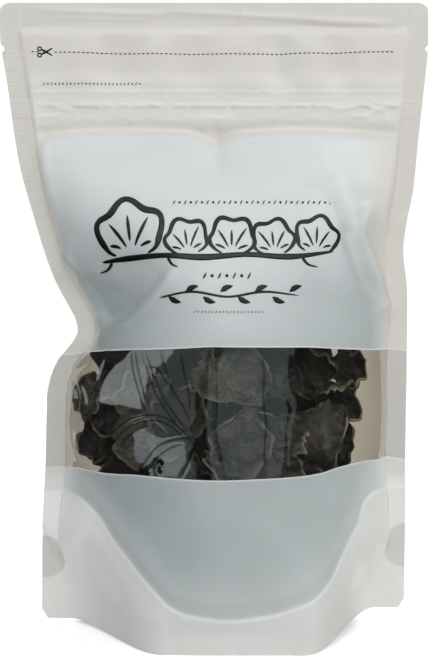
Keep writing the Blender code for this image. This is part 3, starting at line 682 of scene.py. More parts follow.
def closed_grid(outer, inward):
    """Two grids of points, a sheet's outer and inner face, joined by a wall round the rim, as
    points and faces. The wall's faces come last."""
    rows, columns = outer.shape[:2]
    corner = np.arange(rows * columns).reshape(rows, columns)
    rim = np.concatenate([corner[0, :-1], corner[:-1, -1], corner[-1, :0:-1], corner[:0:-1, 0]])
    after = np.roll(rim, -1)
    wall = np.stack([after, rim, rim + corner.size, after + corner.size], axis=-1)
    sheet = quads_of(corner)
    faces = np.concatenate([sheet, sheet[:, ::-1] + corner.size, wall])
    points = np.concatenate([outer.reshape(-1, 3), inward.reshape(-1, 3)])
    return points, faces, np.arange(len(faces)) < 2 * len(sheet)


def mesh_of(name, points, faces, smooth):
    """A mesh from points and faces; smooth says which faces are shaded as one surface."""
    mesh = bpy.data.meshes.new(name)
    mesh.from_pydata(points.tolist(), [], faces.tolist())
    mesh.polygons.foreach_set("use_smooth", smooth)
    return mesh


def closed_sheet(name, outer, inward, marks):
    """A thin closed sheet. marks are values per point, one grid for both faces or a pair."""
    mesh = mesh_of(name, *closed_grid(outer, inward))
    for mark, values in marks.items():
        front, back = values if isinstance(values, tuple) else (values, values)
        both = np.concatenate([np.ravel(front), np.ravel(back)]).astype(np.float32)
        mesh.attributes.new(mark, "FLOAT", "POINT").data.foreach_set("value", both)
    return mesh


def add_piece(name, mesh, material, slot, *nodes):
    """A piece of the pouch with its finish, riding on the one body and standing for CAD nodes."""
    piece = bpy.data.objects.new(name, mesh)
    mesh.materials.append(material)
    bpy.context.scene.collection.objects.link(piece)
    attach(piece, "root")
    if nodes:
        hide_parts(*nodes)


# ---- Finishes ----------------------------------------------------------------------------------
class Finish:
    """A material put together node by node."""

    def __init__(self, name):
        self.material = bpy.data.materials.new(name)
        self.material.use_nodes = True
        self.tree = self.material.node_tree
        self.tree.nodes.clear()
        self.output = self.tree.nodes.new("ShaderNodeOutputMaterial")

    def node(self, kind, inputs=None, **settings):
        """A node of that kind; inputs are values or other nodes' sockets, by name or number."""
        made = self.tree.nodes.new("ShaderNode" + kind)
        for name, value in settings.items():
            setattr(made, name, value)
        for key, value in (inputs or {}).items():
            if isinstance(value, bpy.types.NodeSocket):
                self.tree.links.new(value, made.inputs[key])
            else:
                made.inputs[key].default_value = value
        return made

    def mark(self, name):
        """The value that the mesh carries under that name."""
        return self.node("Attribute", attribute_name=name).outputs["Fac"]

    def math(self, operation, *values):
        made = self.node("Math", dict(enumerate(values)), operation=operation)
        return made.outputs[0]

    def mix(self, share, first, second):
        """first where share is 0, second where it is 1, as colours."""
        inputs = {0: share, 6: first, 7: second}
        return self.node("Mix", inputs, data_type="RGBA").outputs[2]

    def noise(self, scale, detail=3.0, stretch=None):
        """Noise on the object's own coordinates, in cells per metre."""
        place = self.node("TexCoord").outputs["Object"]
        if stretch:
            place = self.node("Mapping", {"Vector": place, "Scale": stretch}).outputs[0]
        return self.node("TexNoise", {"Vector": place, "Scale": scale, "Detail": detail}).outputs[0]

    def net(self, scale, width):
        """1 on thin lines between cells of the object's own space, in cells per metre, bent by
        noise, and 0 inside the cells; width is a share of a cell."""
        place = self.node("TexCoord").outputs["Object"]
        bend = self.node("TexNoise", {"Vector": place, "Scale": scale * 0.6, "Detail": 2.0})
        reach = (1.1 / scale,) * 3
        inputs = {0: bend.outputs["Color"], 1: reach, 2: place}
        bent = self.node("VectorMath", inputs, operation="MULTIPLY_ADD").outputs[0]
        inputs = {"Vector": bent, "Scale": scale}
        cells = self.node("TexVoronoi", inputs, feature="DISTANCE_TO_EDGE")
        return self.spread(cells.outputs["Distance"], 0.0, width, 1.0, 0.0)

    def spread(self, value, low, high, to_low=0.0, to_high=1.0):
        """value between low and high as a value between to_low and to_high."""
        inputs = {0: value, 1: low, 2: high, 3: to_low, 4: to_high}
        return self.node("MapRange", inputs).outputs[0]

    def bump(self, height, distance, strength=1.0):
        inputs = {"Height": height, "Distance": distance, "Strength": strength}
        return self.node("Bump", inputs).outputs[0]

    def finish(self, shader):
        self.tree.links.new(shader, self.output.inputs[0])
        return self.material


def grey(level):
    return (level, level, level, 1.0)


# Colours of the white film in its darker and lighter mottles: with only film behind it, blown out,
# close over the dark ears and in painted shade, and backed by the gusset
PLAIN_FILM = ((0.775, 0.75, 0.695, 1), (0.805, 0.785, 0.73, 1))
BLOWN_FILM = ((0.775, 0.815, 0.82, 1), (0.805, 0.845, 0.85, 1))
FILM_OVER_EARS_AND_SHADE = ((0.36, 0.41, 0.415, 1), (0.40, 0.455, 0.46, 1))
# The gusset-backed white also paints light into the foot's left corner
BACKED_FILM = ((0.90, 0.905, 0.885, 1), (0.93, 0.935, 0.915, 1))
# Its loose patches and the painted highlight along the lip, welded spots, sealed strips, cut edges
# and inner face, darker and browner as painted shade
PALE_FILM_AND_LIP_HIGHLIGHT, WELDED_SPOT = (0.90, 0.90, 0.88, 1), (0.715, 0.70, 0.675, 1)
SEALED_FILM, SEALED_SHARE = (0.73, 0.705, 0.665, 1), 0.5
CUT_FILM, INNER_FILM_SHADE = (0.90, 0.91, 0.91, 1), (0.69, 0.645, 0.57, 1)
# What passes through the clear film where it is smooth, and where it is creased as painted shade,
# and its look where it is sealed
CLEAR, CREASE_SHADE, MILKY = (0.985, 0.98, 0.965, 1), (0.30, 0.31, 0.31, 1), (0.76, 0.745, 0.70, 1)
# How much the clear film mirrors: straight on, more than that at a glancing angle, at most, and
# what share of that is left in a crease, dimmed there as painted shade
MIRROR, GLANCE, MOST_MIRROR, CREASED_MIRROR = 0.08, 0.9, 0.75, 0.3
ZIP_COLOURS = ((0.70, 0.70, 0.68, 1), (0.76, 0.76, 0.74, 1))
BLACK_INK, WORN_INK = grey(0.004), grey(0.04)
# A dried ear's outer and hollow face, each in two blotches, its veins and its rim, tan partly of its
# own and partly as a painted highlight
EAR_OUTSIDE = ((0.004, 0.004, 0.004, 1), (0.024, 0.021, 0.017, 1))
EAR_HOLLOW = ((0.030, 0.029, 0.024, 1), (0.100, 0.095, 0.080, 1))
EAR_VEINS, EAR_RIM_AND_HIGHLIGHT = (0.19, 0.18, 0.155, 1), (0.42, 0.375, 0.265, 1)
# Where noise starts and ends to count as fully one thing or the other
NOISE = (0.3, 0.7)


def seal_ribs(finish):
    """The fine level ribs that the sealing bars press into the side seals, in metres."""
    place = finish.node("TexCoord").outputs["Object"]
    height = finish.node("SeparateXYZ", {0: place}).outputs[2]
    wave = finish.math("SINE", finish.math("MULTIPLY", height, 2 * math.pi / RIB_PITCH))
    return finish.math("MULTIPLY", finish.math("MULTIPLY", wave, finish.mark("ribbed")), RIB_DEPTH)


def printed_film_finish(name, lets_light_through=0.0):
    """White laminate: warm where there is only film behind it, cool where the pouch is blown out,
    darker over the ears and with painted shade at the left and the waist, whiter where the gusset
    backs it and with painted light in the foot's left corner, a painted highlight along the lip of
    the curved seal, greyer in the welded spots, with a pale cut line along the clear band, and
    beige with painted shade on its inner face. The back film lets some light through to the inside."""
    f = Finish(name)
    mottle = f.spread(f.noise(55, 4), *NOISE)
    colour = f.mix(mottle, *PLAIN_FILM)
    layers = (
        ("blown", f.mix(mottle, *BLOWN_FILM)), ("filled", f.mix(mottle, *FILM_OVER_EARS_AND_SHADE)),
        ("backed", f.mix(mottle, *BACKED_FILM)), ("loose", PALE_FILM_AND_LIP_HIGHLIGHT), ("spot", WELDED_SPOT),
    )
    for mark, cover in layers:
        colour = f.mix(f.mark(mark), colour, cover)
    sealed = f.math("MULTIPLY", f.mark("sealed"), SEALED_SHARE)
    colour = f.mix(sealed, colour, SEALED_FILM)
    colour = f.mix(f.mark("cut_edge"), colour, CUT_FILM)
    # Painted shade: the inner face is made darker and browner
    colour = f.mix(f.mark("inside"), colour, INNER_FILM_SHADE)
    grain = f.math("MULTIPLY", f.noise(1900, 2), 0.012 * MM)
    relief = f.math("ADD", grain, seal_ribs(f))
    shader = f.node("BsdfPrincipled", {
        "Base Color": colour,
        "Roughness": f.spread(f.noise(140, 3), *NOISE, 0.31, 0.41),
        "IOR": 1.5,
        "Normal": f.bump(relief, 1.0),
        "Subsurface Weight": lets_light_through,
        "Subsurface Radius": (1.0, 0.93, 0.84),
        "Subsurface Scale": 1.3 * MM,
    })
    return f.finish(shader.outputs[0])


def clear_film_finish(name):
    """Clear laminate: see-through, with a film's own faint mirror that grows at a glancing angle,
    darkened with painted shade in its sharp creases, in both what passes through and the mirror,
    milky where it is sealed to the white film behind."""
    f = Finish(name)
    facing = f.node("LayerWeight", {0: 0.5}).outputs["Facing"]
    glance = f.math("MULTIPLY", f.math("POWER", facing, 5.0), GLANCE)
    mirror = f.math("MINIMUM", f.math("ADD", glance, MIRROR), MOST_MIRROR)
    creased = f.mark("creased")
    mirror = f.math("MULTIPLY", mirror, f.spread(creased, 0, 1, 1.0, CREASED_MIRROR))
    ripple = f.math("MULTIPLY", f.noise(160, 4), 0.03 * MM)
    normal = f.bump(f.math("ADD", ripple, seal_ribs(f)), 1.0)
    gloss = f.node("BsdfGlossy", {"Color": grey(1.0), "Roughness": 0.025, "Normal": normal})
    # Painted shade: the sharp creases let less through and mirror less
    through = f.node("BsdfTransparent", {"Color": f.mix(creased, CLEAR, CREASE_SHADE)})
    clear = f.node("MixShader", {0: mirror, 1: through.outputs[0], 2: gloss.outputs[0]})
    milk = f.node("BsdfPrincipled", {"Base Color": MILKY, "Roughness": 0.4, "Normal": normal})
    share = f.spread(f.mark("sealed"), 0, 1, 0.004, 0.78)
    shader = f.node("MixShader", {0: share, 1: clear.outputs[0], 2: milk.outputs[0]})
    return f.finish(shader.outputs[0])


def zip_finish(name):
    """Milky polyethylene with faint drawing lines along its length."""
    f = Finish(name)
    lines = f.noise(900, 2, (0.02, 1, 1))
    shader = f.node("BsdfPrincipled", {
        "Base Color": f.mix(f.spread(lines, 0.35, 0.65), *ZIP_COLOURS),
        "Roughness": f.spread(lines, *NOISE, 0.32, 0.42),
        "Normal": f.bump(f.math("MULTIPLY", lines, 0.02 * MM), 1.0),
    })
    return f.finish(shader.outputs[0])


def ink_finish(name):
    """Black ink printed on the film, with the film's sheen and a slightly worn cover."""
    f = Finish(name)
    wear = f.spread(f.noise(700, 3), 0.55, 0.75, 0, 0.25)
    shader = f.node("BsdfPrincipled", {
        "Base Color": f.mix(wear, BLACK_INK, WORN_INK),
        "Roughness": f.spread(f.noise(300, 2), *NOISE, 0.30, 0.40),
        "Specular IOR Level": 0.3,
        "Normal": f.bump(f.math("MULTIPLY", f.noise(1900, 2), 0.01 * MM), 1.0),
    })
    return f.finish(shader.outputs[0])


def wood_ear_finish(name):
    """A dried ear: near black on its outer face, grey-brown and downy on its hollow face, where a net
    of thin pale veins shows, with a tan, drier rim that is partly a painted highlight."""
    f = Finish(name)
    hollow, rim, tone = (f.mark(m) for m in ("hollow_face", "rim", "tone"))
    blotch = f.spread(f.noise(130, 4), *NOISE)
    veins = f.math("MAXIMUM", f.net(260, 0.06), f.net(105, 0.035))
    veins = f.math("MULTIPLY", veins, f.spread(f.noise(70, 2), 0.4, 0.6, 0.15, 0.85))
    pale = f.mix(veins, f.mix(blotch, *EAR_HOLLOW), EAR_VEINS)
    share = f.math("MULTIPLY", f.spread(hollow, 0, 1, 0.25, 1.0), tone)
    share = f.math("ADD", f.math("MULTIPLY", share, 0.92), 0.06)
    colour = f.mix(share, f.mix(blotch, *EAR_OUTSIDE), pale)
    # The tan rim is partly a painted highlight
    colour = f.mix(rim, colour, EAR_RIM_AND_HIGHLIGHT)
    down = f.math("MULTIPLY", f.noise(1500, 3), 0.04 * MM)
    wrinkle = f.math("MULTIPLY", f.noise(330, 4), 0.22 * MM)
    raised = f.math("ADD", f.math("ADD", down, wrinkle), f.math("MULTIPLY", veins, 0.16 * MM))
    shader = f.node("BsdfPrincipled", {
        "Base Color": colour,
        "Roughness": f.spread(hollow, 0, 1, 0.42, 0.70),
        "Specular IOR Level": 0.25,
        "Normal": f.bump(raised, 1.0, 0.8),
    })
    return f.finish(shader.outputs[0])


# ---- The film ----------------------------------------------------------------------------------
# The dark ears behind the film: the heights over which they thin out, the share of the way to a
# side seal where they start to, and how much later they do so at the waist, as painted shade there
HEAP_FADE, HEAP_EDGE, WAIST_SHADE_EDGE = (128 * MM, 182 * MM), 0.82, 0.13
WAIST_SHADE_LEFT, WAIST_SHADE_UP = (10 * MM, 40 * MM), (100 * MM, 120 * MM)
# How much less there is of them over the window's middle, and what share of them is at the right,
# where less painted shade leaves the right lighter than the left
MIDDLE_GAP, MIDDLE, MIDDLE_WIDTH, MIDDLE_UP = 0.52, 2 * MM, 32 * MM, (104 * MM, 124 * MM)
RIGHT_SHARE_OF_SHADE, SHADE_TO_LEFT = 0.72, (-5 * MM, 30 * MM)
# How much of them shows in the foot, at its seal line and well over it
LOW_HEAP, LOW_HEAP_EASE, LOW_HEAP_RISE = 0.56, (0, 2 * MM), (0, 24 * MM)


def ears_and_painted_shade(height, x, share, over):
    """How much the film is darkened, from 0 to 1: by the dark ears close behind it and by painted shade,
    darkest low down at the left and at the waist's dent, and less upwards, to the right, over the
    window's middle and towards the side seals."""
    edge = HEAP_EDGE + WAIST_SHADE_EDGE * ramp(-x, *WAIST_SHADE_LEFT) * ramp(height, *WAIST_SHADE_UP)
    heap = (1 - ramp(height, *HEAP_FADE)) * (1 - ramp(share, edge, 1.0))
    middle = bell(x - MIDDLE, MIDDLE_WIDTH) * ramp(height, *MIDDLE_UP)
    heap = heap * (1 - MIDDLE_GAP * middle)
    heap = heap * (RIGHT_SHARE_OF_SHADE + (1 - RIGHT_SHARE_OF_SHADE) * ramp(-x, *SHADE_TO_LEFT))
    return heap * ramp(over, *LOW_HEAP_EASE) * (LOW_HEAP + (1 - LOW_HEAP) * ramp(over, *LOW_HEAP_RISE))


# Where the film lies close to the other one beside the side seals and looks warm: the share of the
# way to them, less at the upper right, and what is left of that in the foot
WARM_EDGE, WARM_RIGHT = 0.93, 0.20
WARM_UP, WARM_ACROSS = (100 * MM, 140 * MM), (-20 * MM, 20 * MM)
WARM_FOOT, WARM_RISE = 0.45, (56 * MM, 70 * MM)
# How the blown film ends under the crease, and how much less of it there is over the gusset
BLOWN_END, BLOWN_OVER_GUSSET = (-5 * MM, 1 * MM), 0.6


def blown_film(height, x, share, gusset):
    """How far the film is blown out, away from the other one, from 0 to 1."""
    edge = WARM_EDGE - WARM_RIGHT * ramp(height, *WARM_UP) * ramp(x, *WARM_ACROSS)
    warm = ramp(share, edge, 1.0) * (WARM_FOOT + (1 - WARM_FOOT) * ramp(height, *WARM_RISE))
    under_crease = 1 - ramp(height - follow(CREASE, x), *BLOWN_END)
    return under_crease * (1 - warm) * (1 - BLOWN_OVER_GUSSET * gusset)


# The sealed sides and top, the zip's strip and how it ends beside the side seals, the gusset's edge
# at its seal line and the painted highlight along the lip there
SEALED_SIDES, SEALED_UP = (0.99, 1.0), (58 * MM, 62.5 * MM)
SEALED_TOP = (POUCH_HEIGHT - TOP_SEAL - 0.6 * MM, POUCH_HEIGHT - TOP_SEAL)
ZIP_RISE, ZIP_FADE, ZIP_SIDE = (194 * MM, 200 * MM), (210 * MM, 215 * MM), (0, 0.02)
GUSSET_EDGE, LIP_HIGHLIGHT_PLACE, LIP_HIGHLIGHT_WIDTH = (-0.6 * MM, 0.6 * MM), 0.1 * MM, 0.75 * MM
# How white the gusset backs the film, and how that grows to the left and up in the foot's corner,
# where the extra white is painted light
BACKED, CORNER_PAINTED_LIGHT = 0.4, 0.45
PAINTED_LIGHT_LEFT, PAINTED_LIGHT_UP = (30 * MM, 56 * MM), (30 * MM, 46 * MM)
# How pale the loose patches and the zip's strip are, how bright the painted highlight on the lip is,
# and how wide the cut line is and, in mm, a welded spot's edge
PATCH_TONE, ZIP_TONE, LIP_HIGHLIGHT = 0.7, 0.45, 0.9
CUT_WIDTH, SPOT_LINE = 0.35 * MM, 0.25


def seal_marks(side, height, panel):
    """Where the film is sealed at its sides and top and ribbed by the bars, backed by the gusset, with
    painted light in the foot's left corner, loose or welded in the foot, with a painted highlight
    along the curved seal's lip, blown out and cut for the clear band, how close the dark ears are
    behind it, with painted shade at the left and the waist, and the painted shade of the clear band's
    sharp creases, each from 0 to 1."""
    middle, half = seams(height)
    x, z = middle + side * half, lifted(side, height)
    share = inner(side, height)
    over = height - seal_line(side, panel)
    empty = np.zeros_like(side)
    front = 1.0 if panel is FRONT else 0.0
    sides = ramp(share, *SEALED_SIDES) * ramp(height, *SEALED_UP)
    top = ramp(height, *SEALED_TOP)
    gusset = 1 - ramp(over, *GUSSET_EDGE)
    # Painted light: the foot's left corner is made whiter, more so upwards
    corner = CORNER_PAINTED_LIGHT + (1 - CORNER_PAINTED_LIGHT) * ramp(z, *PAINTED_LIGHT_UP)
    corner = corner * ramp(-x, *PAINTED_LIGHT_LEFT)
    at_zip = band(height, ZIP_RISE, ZIP_FADE) * ramp(1 - share, *ZIP_SIDE)
    # A painted highlight along the lip of the curved seal
    lip = bell(over - LIP_HIGHLIGHT_PLACE, LIP_HIGHLIGHT_WIDTH)
    loose = np.maximum(loose_patches(x, z) * PATCH_TONE, at_zip * ZIP_TONE)
    low, high = (edge_height(points)(side) for points in (WINDOW_LOW, WINDOW_HIGH))
    from_cut = np.minimum(np.abs(height - low), np.abs(height - high))
    marks = {
        "backed": gusset * (BACKED + (1 - BACKED) * corner),
        "loose": front * np.maximum(loose, LIP_HIGHLIGHT * lip),
        "spot": front * corner_spots(x, z, SPOT_LINE),
        # filled darkens the film over the ears and adds painted shade at the left and at the waist's dent
        "filled": ears_and_painted_shade(height, x, share, over),
        "blown": blown_film(height, x, share, gusset),
        "cut_edge": front * bell(from_cut, CUT_WIDTH),
        # Painted shade as thin dark lines along the clear band's sharpest folds
        "creased": front * np.clip(raised_by(CREASE_SHADE_LINES, x, height) / MM, 0, 1),
    }
    sealed = np.maximum(sides, top)
    pairs = {mark: (values, empty) for mark, values in marks.items()}
    # The inner face's darker, browner colour is painted shade inside the pouch
    pairs["inside"] = (empty, empty + 1)
    return pairs | {"sealed": (sealed, sealed), "ribbed": (sides * (1 - top), empty)}


def steps_to_rim(count):
    """Even steps from 0 to 1 with one more close to each end, so that a sheet's surface keeps its
    own slope right up to its rim."""
    return np.concatenate([[0, RIM_STEP], np.linspace(0, 1, count)[1:-1], [1 - RIM_STEP, 1]])


def add_film(name, panel, low, high, grid, material, node):
    """A stretch of a film panel between two heights, which may be curves over x: the part's inner
    face, moved out along its normal by the film and its relief, and in again by the skin. grid is
    its rows and columns."""
    rows, columns = grid
    side, share = np.meshgrid(2 * steps_to_rim(columns) - 1, steps_to_rim(rows))
    height = low(side) + (high(side) - low(side)) * share
    face = panel_point(side, height, panel)
    normal = film_normal(side, height, panel)
    outer = face + normal * (FILM + film_relief(side, height, panel))[..., None]
    inward = outer - normal * SKIN
    marks = seal_marks(side, height, panel)
    if panel.facing > 0:
        outer, inward = outer[:, ::-1], inward[:, ::-1]
        marks = {mark: tuple(v[:, ::-1] for v in values) for mark, values in marks.items()}
    mesh = closed_sheet(name, outer, inward, marks)
    add_piece(name, mesh, material, "printed_film", node)


# How often an edge's height is worked out anew from the last one
EDGE_ROUNDS = 6


def edge_height(points):
    """An edge that follows a curve over x, as a height over side, found in a few rounds."""

    def height(side):
        found = np.full_like(side, points[0][1] * MM)
        for _ in range(EDGE_ROUNDS):
            middle, half = seams(found)
            found = follow(points, middle + side * half)
        return found

    return height


def level(height):
    """An edge at one height all along."""
    return lambda side: np.full_like(side, height)


# The rows and columns of the film's stretches
HEADER_GRID, BODY_GRID, CLEAR_GRID, FOOT_GRID = (136, 200), (160, 200), (140, 330), (150, 200)
BACK_GRID = (190, 105)


def add_front_film():
    """The front panel as four stretches of one sheet: header, body, clear band and foot."""
    white = printed_film_finish("white_film")
    clear = clear_film_finish("clear_film")
    window_low, window_high, crease = (edge_height(c) for c in (WINDOW_LOW, WINDOW_HIGH, CREASE))
    stretches = (
        ("front_film_header", crease, level(POUCH_HEIGHT), HEADER_GRID, white),
        ("front_film_body", window_high, crease, BODY_GRID, white),
        ("front_film_clear_band", window_low, window_high, CLEAR_GRID, clear),
        ("front_film_foot", level(0.0), window_low, FOOT_GRID, white),
    )
    for name, low, high, grid, material in stretches:
        add_film(name, FRONT, low, high, grid, material, "film_front")


def add_back_film():
    """The back panel, one plain sheet."""
    white = printed_film_finish("white_back_film", 1.0)
    add_film("back_film", BACK, level(0.0), level(POUCH_HEIGHT), BACK_GRID, white, "film_back")


def gusset_point(side, around):
    """A point of the gusset: around runs from -1 at the front foot, up the front seal, across the
    pouch's floor at 0 and down the back seal to 1."""
    facing = np.sign(around)
    reach = np.abs(around)
    seal = np.where(facing < 0, seal_line(side, FRONT), seal_line(side, BACK))
    height = seal * np.clip(2 * (1 - reach), 0, 1)
    front, back = panel_point(side, height, FRONT), panel_point(side, height, BACK)
    leg = np.where((facing < 0)[..., None], front, back)
    share = bulge(side, height)
    inset = GUSSET_HALF_GAP - GUSSET_FILM * 1.5 + LEG_CLEARANCE * share
    leg[..., 1] -= facing * inset
    across = np.clip(2 * reach, 0, 1)
    leg[..., 1] *= across
    leg[..., 2] -= FLOOR_SAG * (1 - across**2) * share
    return leg


# The gusset's rows and columns, the ridge of its middle fold and its width, and its dents, which
# end where its legs start
GUSSET_GRID = (65, 80)
FOLD_RIDGE, FOLD_WIDTH = 0.9 * MM, 0.03
GUSSET_DENT, GUSSET_DENT_SIZE, GUSSET_FLOOR_END = 0.35 * MM, 8 * MM, (0.35, 0.5)


def add_gusset():
    """The gusset, whose floor sags between its seals and is creased along its middle fold."""
    rows, columns = GUSSET_GRID
    side, around = np.meshgrid(np.linspace(-1, 1, columns), np.linspace(-1, 1, rows))
    face = gusset_point(side, around)
    fold = FOLD_RIDGE * bell(around, FOLD_WIDTH) * bulge(side, np.zeros_like(side))
    dents = GUSSET_DENT * cloud(face[..., 0], face[..., 1], GUSSET_DENT_SIZE, 41)
    face[..., 2] += fold + dents * (1 - ramp(np.abs(around), *GUSSET_FLOOR_END))
    normal = sheet_normal(face)
    half = SKIN / 2
    marks = {"backed": np.ones_like(side)}
    mesh = closed_sheet("gusset_film", face + normal * half, face - normal * half, marks)
    film = printed_film_finish("white_gusset_film")
    add_piece("gusset_film", mesh, film, "gusset_film", "film_gusset")


# ---- The wood ears -----------------------------------------------------------------------------
# Points along an ear's side: at the window and in the heap behind it
WINDOW_EAR_SIDES, HEAP_EAR_SIDES = 49, 21
# How thick an ear is, in its middle and at its rim
EAR_SKIN, RIM_SKIN = 0.45 * MM, 0.7 * MM
# How deep the teeth of its outline are, and how much further than its solid its thin rim reaches
FRILL, RIM_REACH = 0.022, 1.09
# How many coarse and fine teeth it has all round, and how deep the fine ones are beside the others
TEETH, FINE_TEETH, FINE_TOOTH = 7, 12, 0.8
# Depths of its ribs, rim ruffle and broad facets, and how far its rim turns over
RIBS, RUFFLE, FACETS, RIM_ROLL = 1.3 * MM, 1.1 * MM, 3.0 * MM, 2.2 * MM
# Half the number of ribs that would fit all round their foot, how many radii out that foot lies,
# how much noise bends them and how wide that noise is, their mean, and over which reach they grow
RIB_TURNS, RIB_FOOT, RIB_BEND, RIB_NOISE = 4, 0.8, 0.7, 8 * MM
RIB_MEAN, RIB_EASE = 0.6, (0.1, 0.5)
# The same of the ruffles, of which there are that many all round, and how wide the facets are
RUFFLE_TURNS, RUFFLE_BEND, RUFFLE_NOISE, RUFFLE_EASE = 8, 1.6, 7 * MM, (0.45, 1.0)
FACET_SIZE = 9 * MM
# Over which shares of the way out an ear's rim turns over, thickens, and thins again to its edge,
# and how much of it is gone there
ROLL_EASE, RIM_THICKENS, RIM_THINS, EDGE_THINNING = (0.8, 1.0), (0.8, 0.95), (0.95, 1), 0.6
# How tan a rim is at most, the tan being partly a painted highlight, the share of the way out where
# that starts on a pale rim and how much earlier on a tan one, where it is full, and the size and the
# ease of the noise that wears it off
MOST_TAN, TAN_START, TAN_WIDTH, TAN_FULL = 0.85, 0.97, 0.09, 0.99
WEAR_SIZE, WEAR_EASE = 6 * MM, (-0.35, 0.5)
# How far ears stay behind the front film's inner face, and how softly it presses them back
FILM_CLEARANCE, PRESS = 0.6 * MM, 0.9 * MM
# How pale each window ear's hollow face is, and how tan its rim, partly as a painted highlight
EAR_TONES = (
    0.9, 1.0, 0.15, 1.0, 0.8, 0.75, 0.8, 0.8, 1.0, 0.4, 0.5, 1.0, 0.5, 0.4, 0.2, 0.6, 1.0, 0.9,
    0.7, 0.8, 0.3, 0.85, 0.9, 0.8, 0.8, 0.6,
)
RIM_HIGHLIGHT_TONES = (
    0.4, 0.6, 0.6, 0.9, 1.0, 0.5, 0.6, 0.6, 1.0, 1.0, 0.3, 0.9, 0.5, 0.9, 0.3, 0.7, 0.6, 0.4,
    0.3, 0.6, 0.4, 1.0, 0.9, 0.3, 0.7, 0.5,
)
HEAP_TONE, HEAP_RIM = 0.3, 0.35


def ear_sheet(across, along, radius, curl, shape, frill=0.0):
    """A dried ear before it is placed: a lobed disc, rolled about one axis by the curl angle,
    cupped a little along the other and ruffled at its rim. across and along run from -1 to 1, and
    frill adds small teeth to the outline."""
    lobe_turn, ruffle_turn, lobes = shape
    flat_x = across * np.sqrt(1 - EAR_ROUNDING * along**2)
    flat_y = along * np.sqrt(1 - EAR_ROUNDING * across**2)
    angle = np.arctan2(flat_y, flat_x)
    reach = np.hypot(flat_x, flat_y)
    sway = EAR_SWAY * np.cos(2 * angle - lobe_turn)
    outline = radius * (1 + EAR_LOBES * np.cos(lobes * angle + lobe_turn) + sway)
    teeth = np.cos(TEETH * angle + ruffle_turn) + FINE_TOOTH * np.cos(FINE_TEETH * angle - lobe_turn)
    outline = outline * (1 + frill * teeth * reach)
    u, v = outline * flat_x, outline * flat_y * EAR_OVAL
    bend = curl / (2 * radius)
    x = np.sin(bend * u) / bend
    z = (1 - np.cos(bend * u)) / bend
    z = z + np.sign(curl) * EAR_CUP * v**2 / radius
    z = z + EAR_RUFFLE * radius * reach**2 * np.sin(3 * angle + ruffle_turn)
    return np.stack([x, -z, v], axis=-1), u, v, reach


def ear_turns(ear):
    """The rotation of an ear: turned in the plane of the film, then tilted forward."""
    turn, tilt = math.radians(ear[3]), math.radians(ear[4])
    return np.array(Euler((tilt, turn, tilt / 2)).to_matrix())


def ear_shape(number):
    """Where the lobes and ruffles of ear number lie, and how many lobes it has."""
    return (LOBE_TURN * number, RUFFLE_TURN * number, 3 + number % 3)


def heap_ears():
    """The places of the heap behind the window, in the part's own order."""
    rng = np.random.default_rng(HEAP_SEED)
    for layer, levels in enumerate(HEAP_LEVELS):
        for row, height in enumerate(levels):
            for column in range(HEAP_COLUMNS):
                shift = 0.5 * ((layer + row) % 2)
                x = (column - (HEAP_COLUMNS - 1) / 2 + shift) * HEAP_SPACING / MM
                x = x + POUCH_MIDDLE / MM + rng.uniform(-HEAP_SHIFT, HEAP_SHIFT)
                z = height / MM + rng.uniform(-HEAP_SHIFT, HEAP_SHIFT)
                radius, turn = rng.uniform(*HEAP_RADIUS), rng.uniform(0, 360)
                tilt = rng.uniform(-HEAP_TILT, HEAP_TILT)
                curl = rng.choice([-1, 1]) * rng.uniform(*HEAP_CURL)
                yield (x, z, radius, turn, tilt, curl)


def placed_ears():
    """Each ear with its number, outline and distance back. Its node's box says how far back it
    lies, and which of the heap's places it took: the next one whose middle the box has."""
    line = np.linspace(-1, 1, EAR_SIDES)
    grid = np.meshgrid(line, line)
    places = iter([*WINDOW_EARS, *heap_ears()])
    for number in range(EAR_COUNT):
        low, high = (np.array(c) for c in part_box(f"wood_ear_{number + 1:02d}"))
        middle = (low + high) / 2
        for ear in places:
            shape = ear_shape(number)
            sheet = ear_sheet(*grid, ear[2] * MM, math.radians(ear[5]), shape)[0]
            points = (sheet @ ear_turns(ear).T).reshape(-1, 3)
            centre = (points.min(axis=0) + points.max(axis=0)) / 2
            away = centre + (ear[0] * MM, 0, ear[1] * MM) - middle
            if abs(away[0]) < 1 * MM and abs(away[2]) < 1 * MM:
                yield number, ear, shape, middle[1] - centre[1]
                break


def ear_folds(u, v, reach, edge, radius, shape, seed):
    """How far an ear's sheet is folded along its normal: ribs that fan out from its foot at one
    side, sharp in their valleys, a ruffle that grows towards the rim, and broad facets."""
    fan = np.arctan2(v, u + RIB_FOOT * radius)
    bend = RIB_BEND * cloud(u, v, RIB_NOISE, seed)
    ribs = np.abs(np.sin(RIB_TURNS * fan + shape[0] + bend))
    lift = RIBS * (RIB_MEAN - ribs) * ramp(reach, *RIB_EASE)
    bend = RUFFLE_BEND * cloud(u, v, RUFFLE_NOISE, seed + 1)
    ruffle = np.sin(RUFFLE_TURNS * np.arctan2(v, u) + shape[1] + bend)
    lift = lift + RUFFLE * ruffle * ramp(edge, *RUFFLE_EASE)
    return lift + FACETS * (crumple(u, v, FACET_SIZE, seed + 2) - 0.5)


def behind_film(points):
    """Points pressed back where they would come nearer to the front film than the clearance, but
    softly: a gap g becomes log(1 + exp(g)), in units of PRESS."""
    x, y, z = (points[..., k] for k in range(3))
    middle, half = seams(z)
    side = np.clip((x - middle) / half, -1, 1)
    front = -(panel_depth(side, z, FRONT) - FILM_CLEARANCE)
    gap = (y - front) / PRESS
    return np.stack([x, front + PRESS * np.logaddexp(0, gap), z], axis=-1)


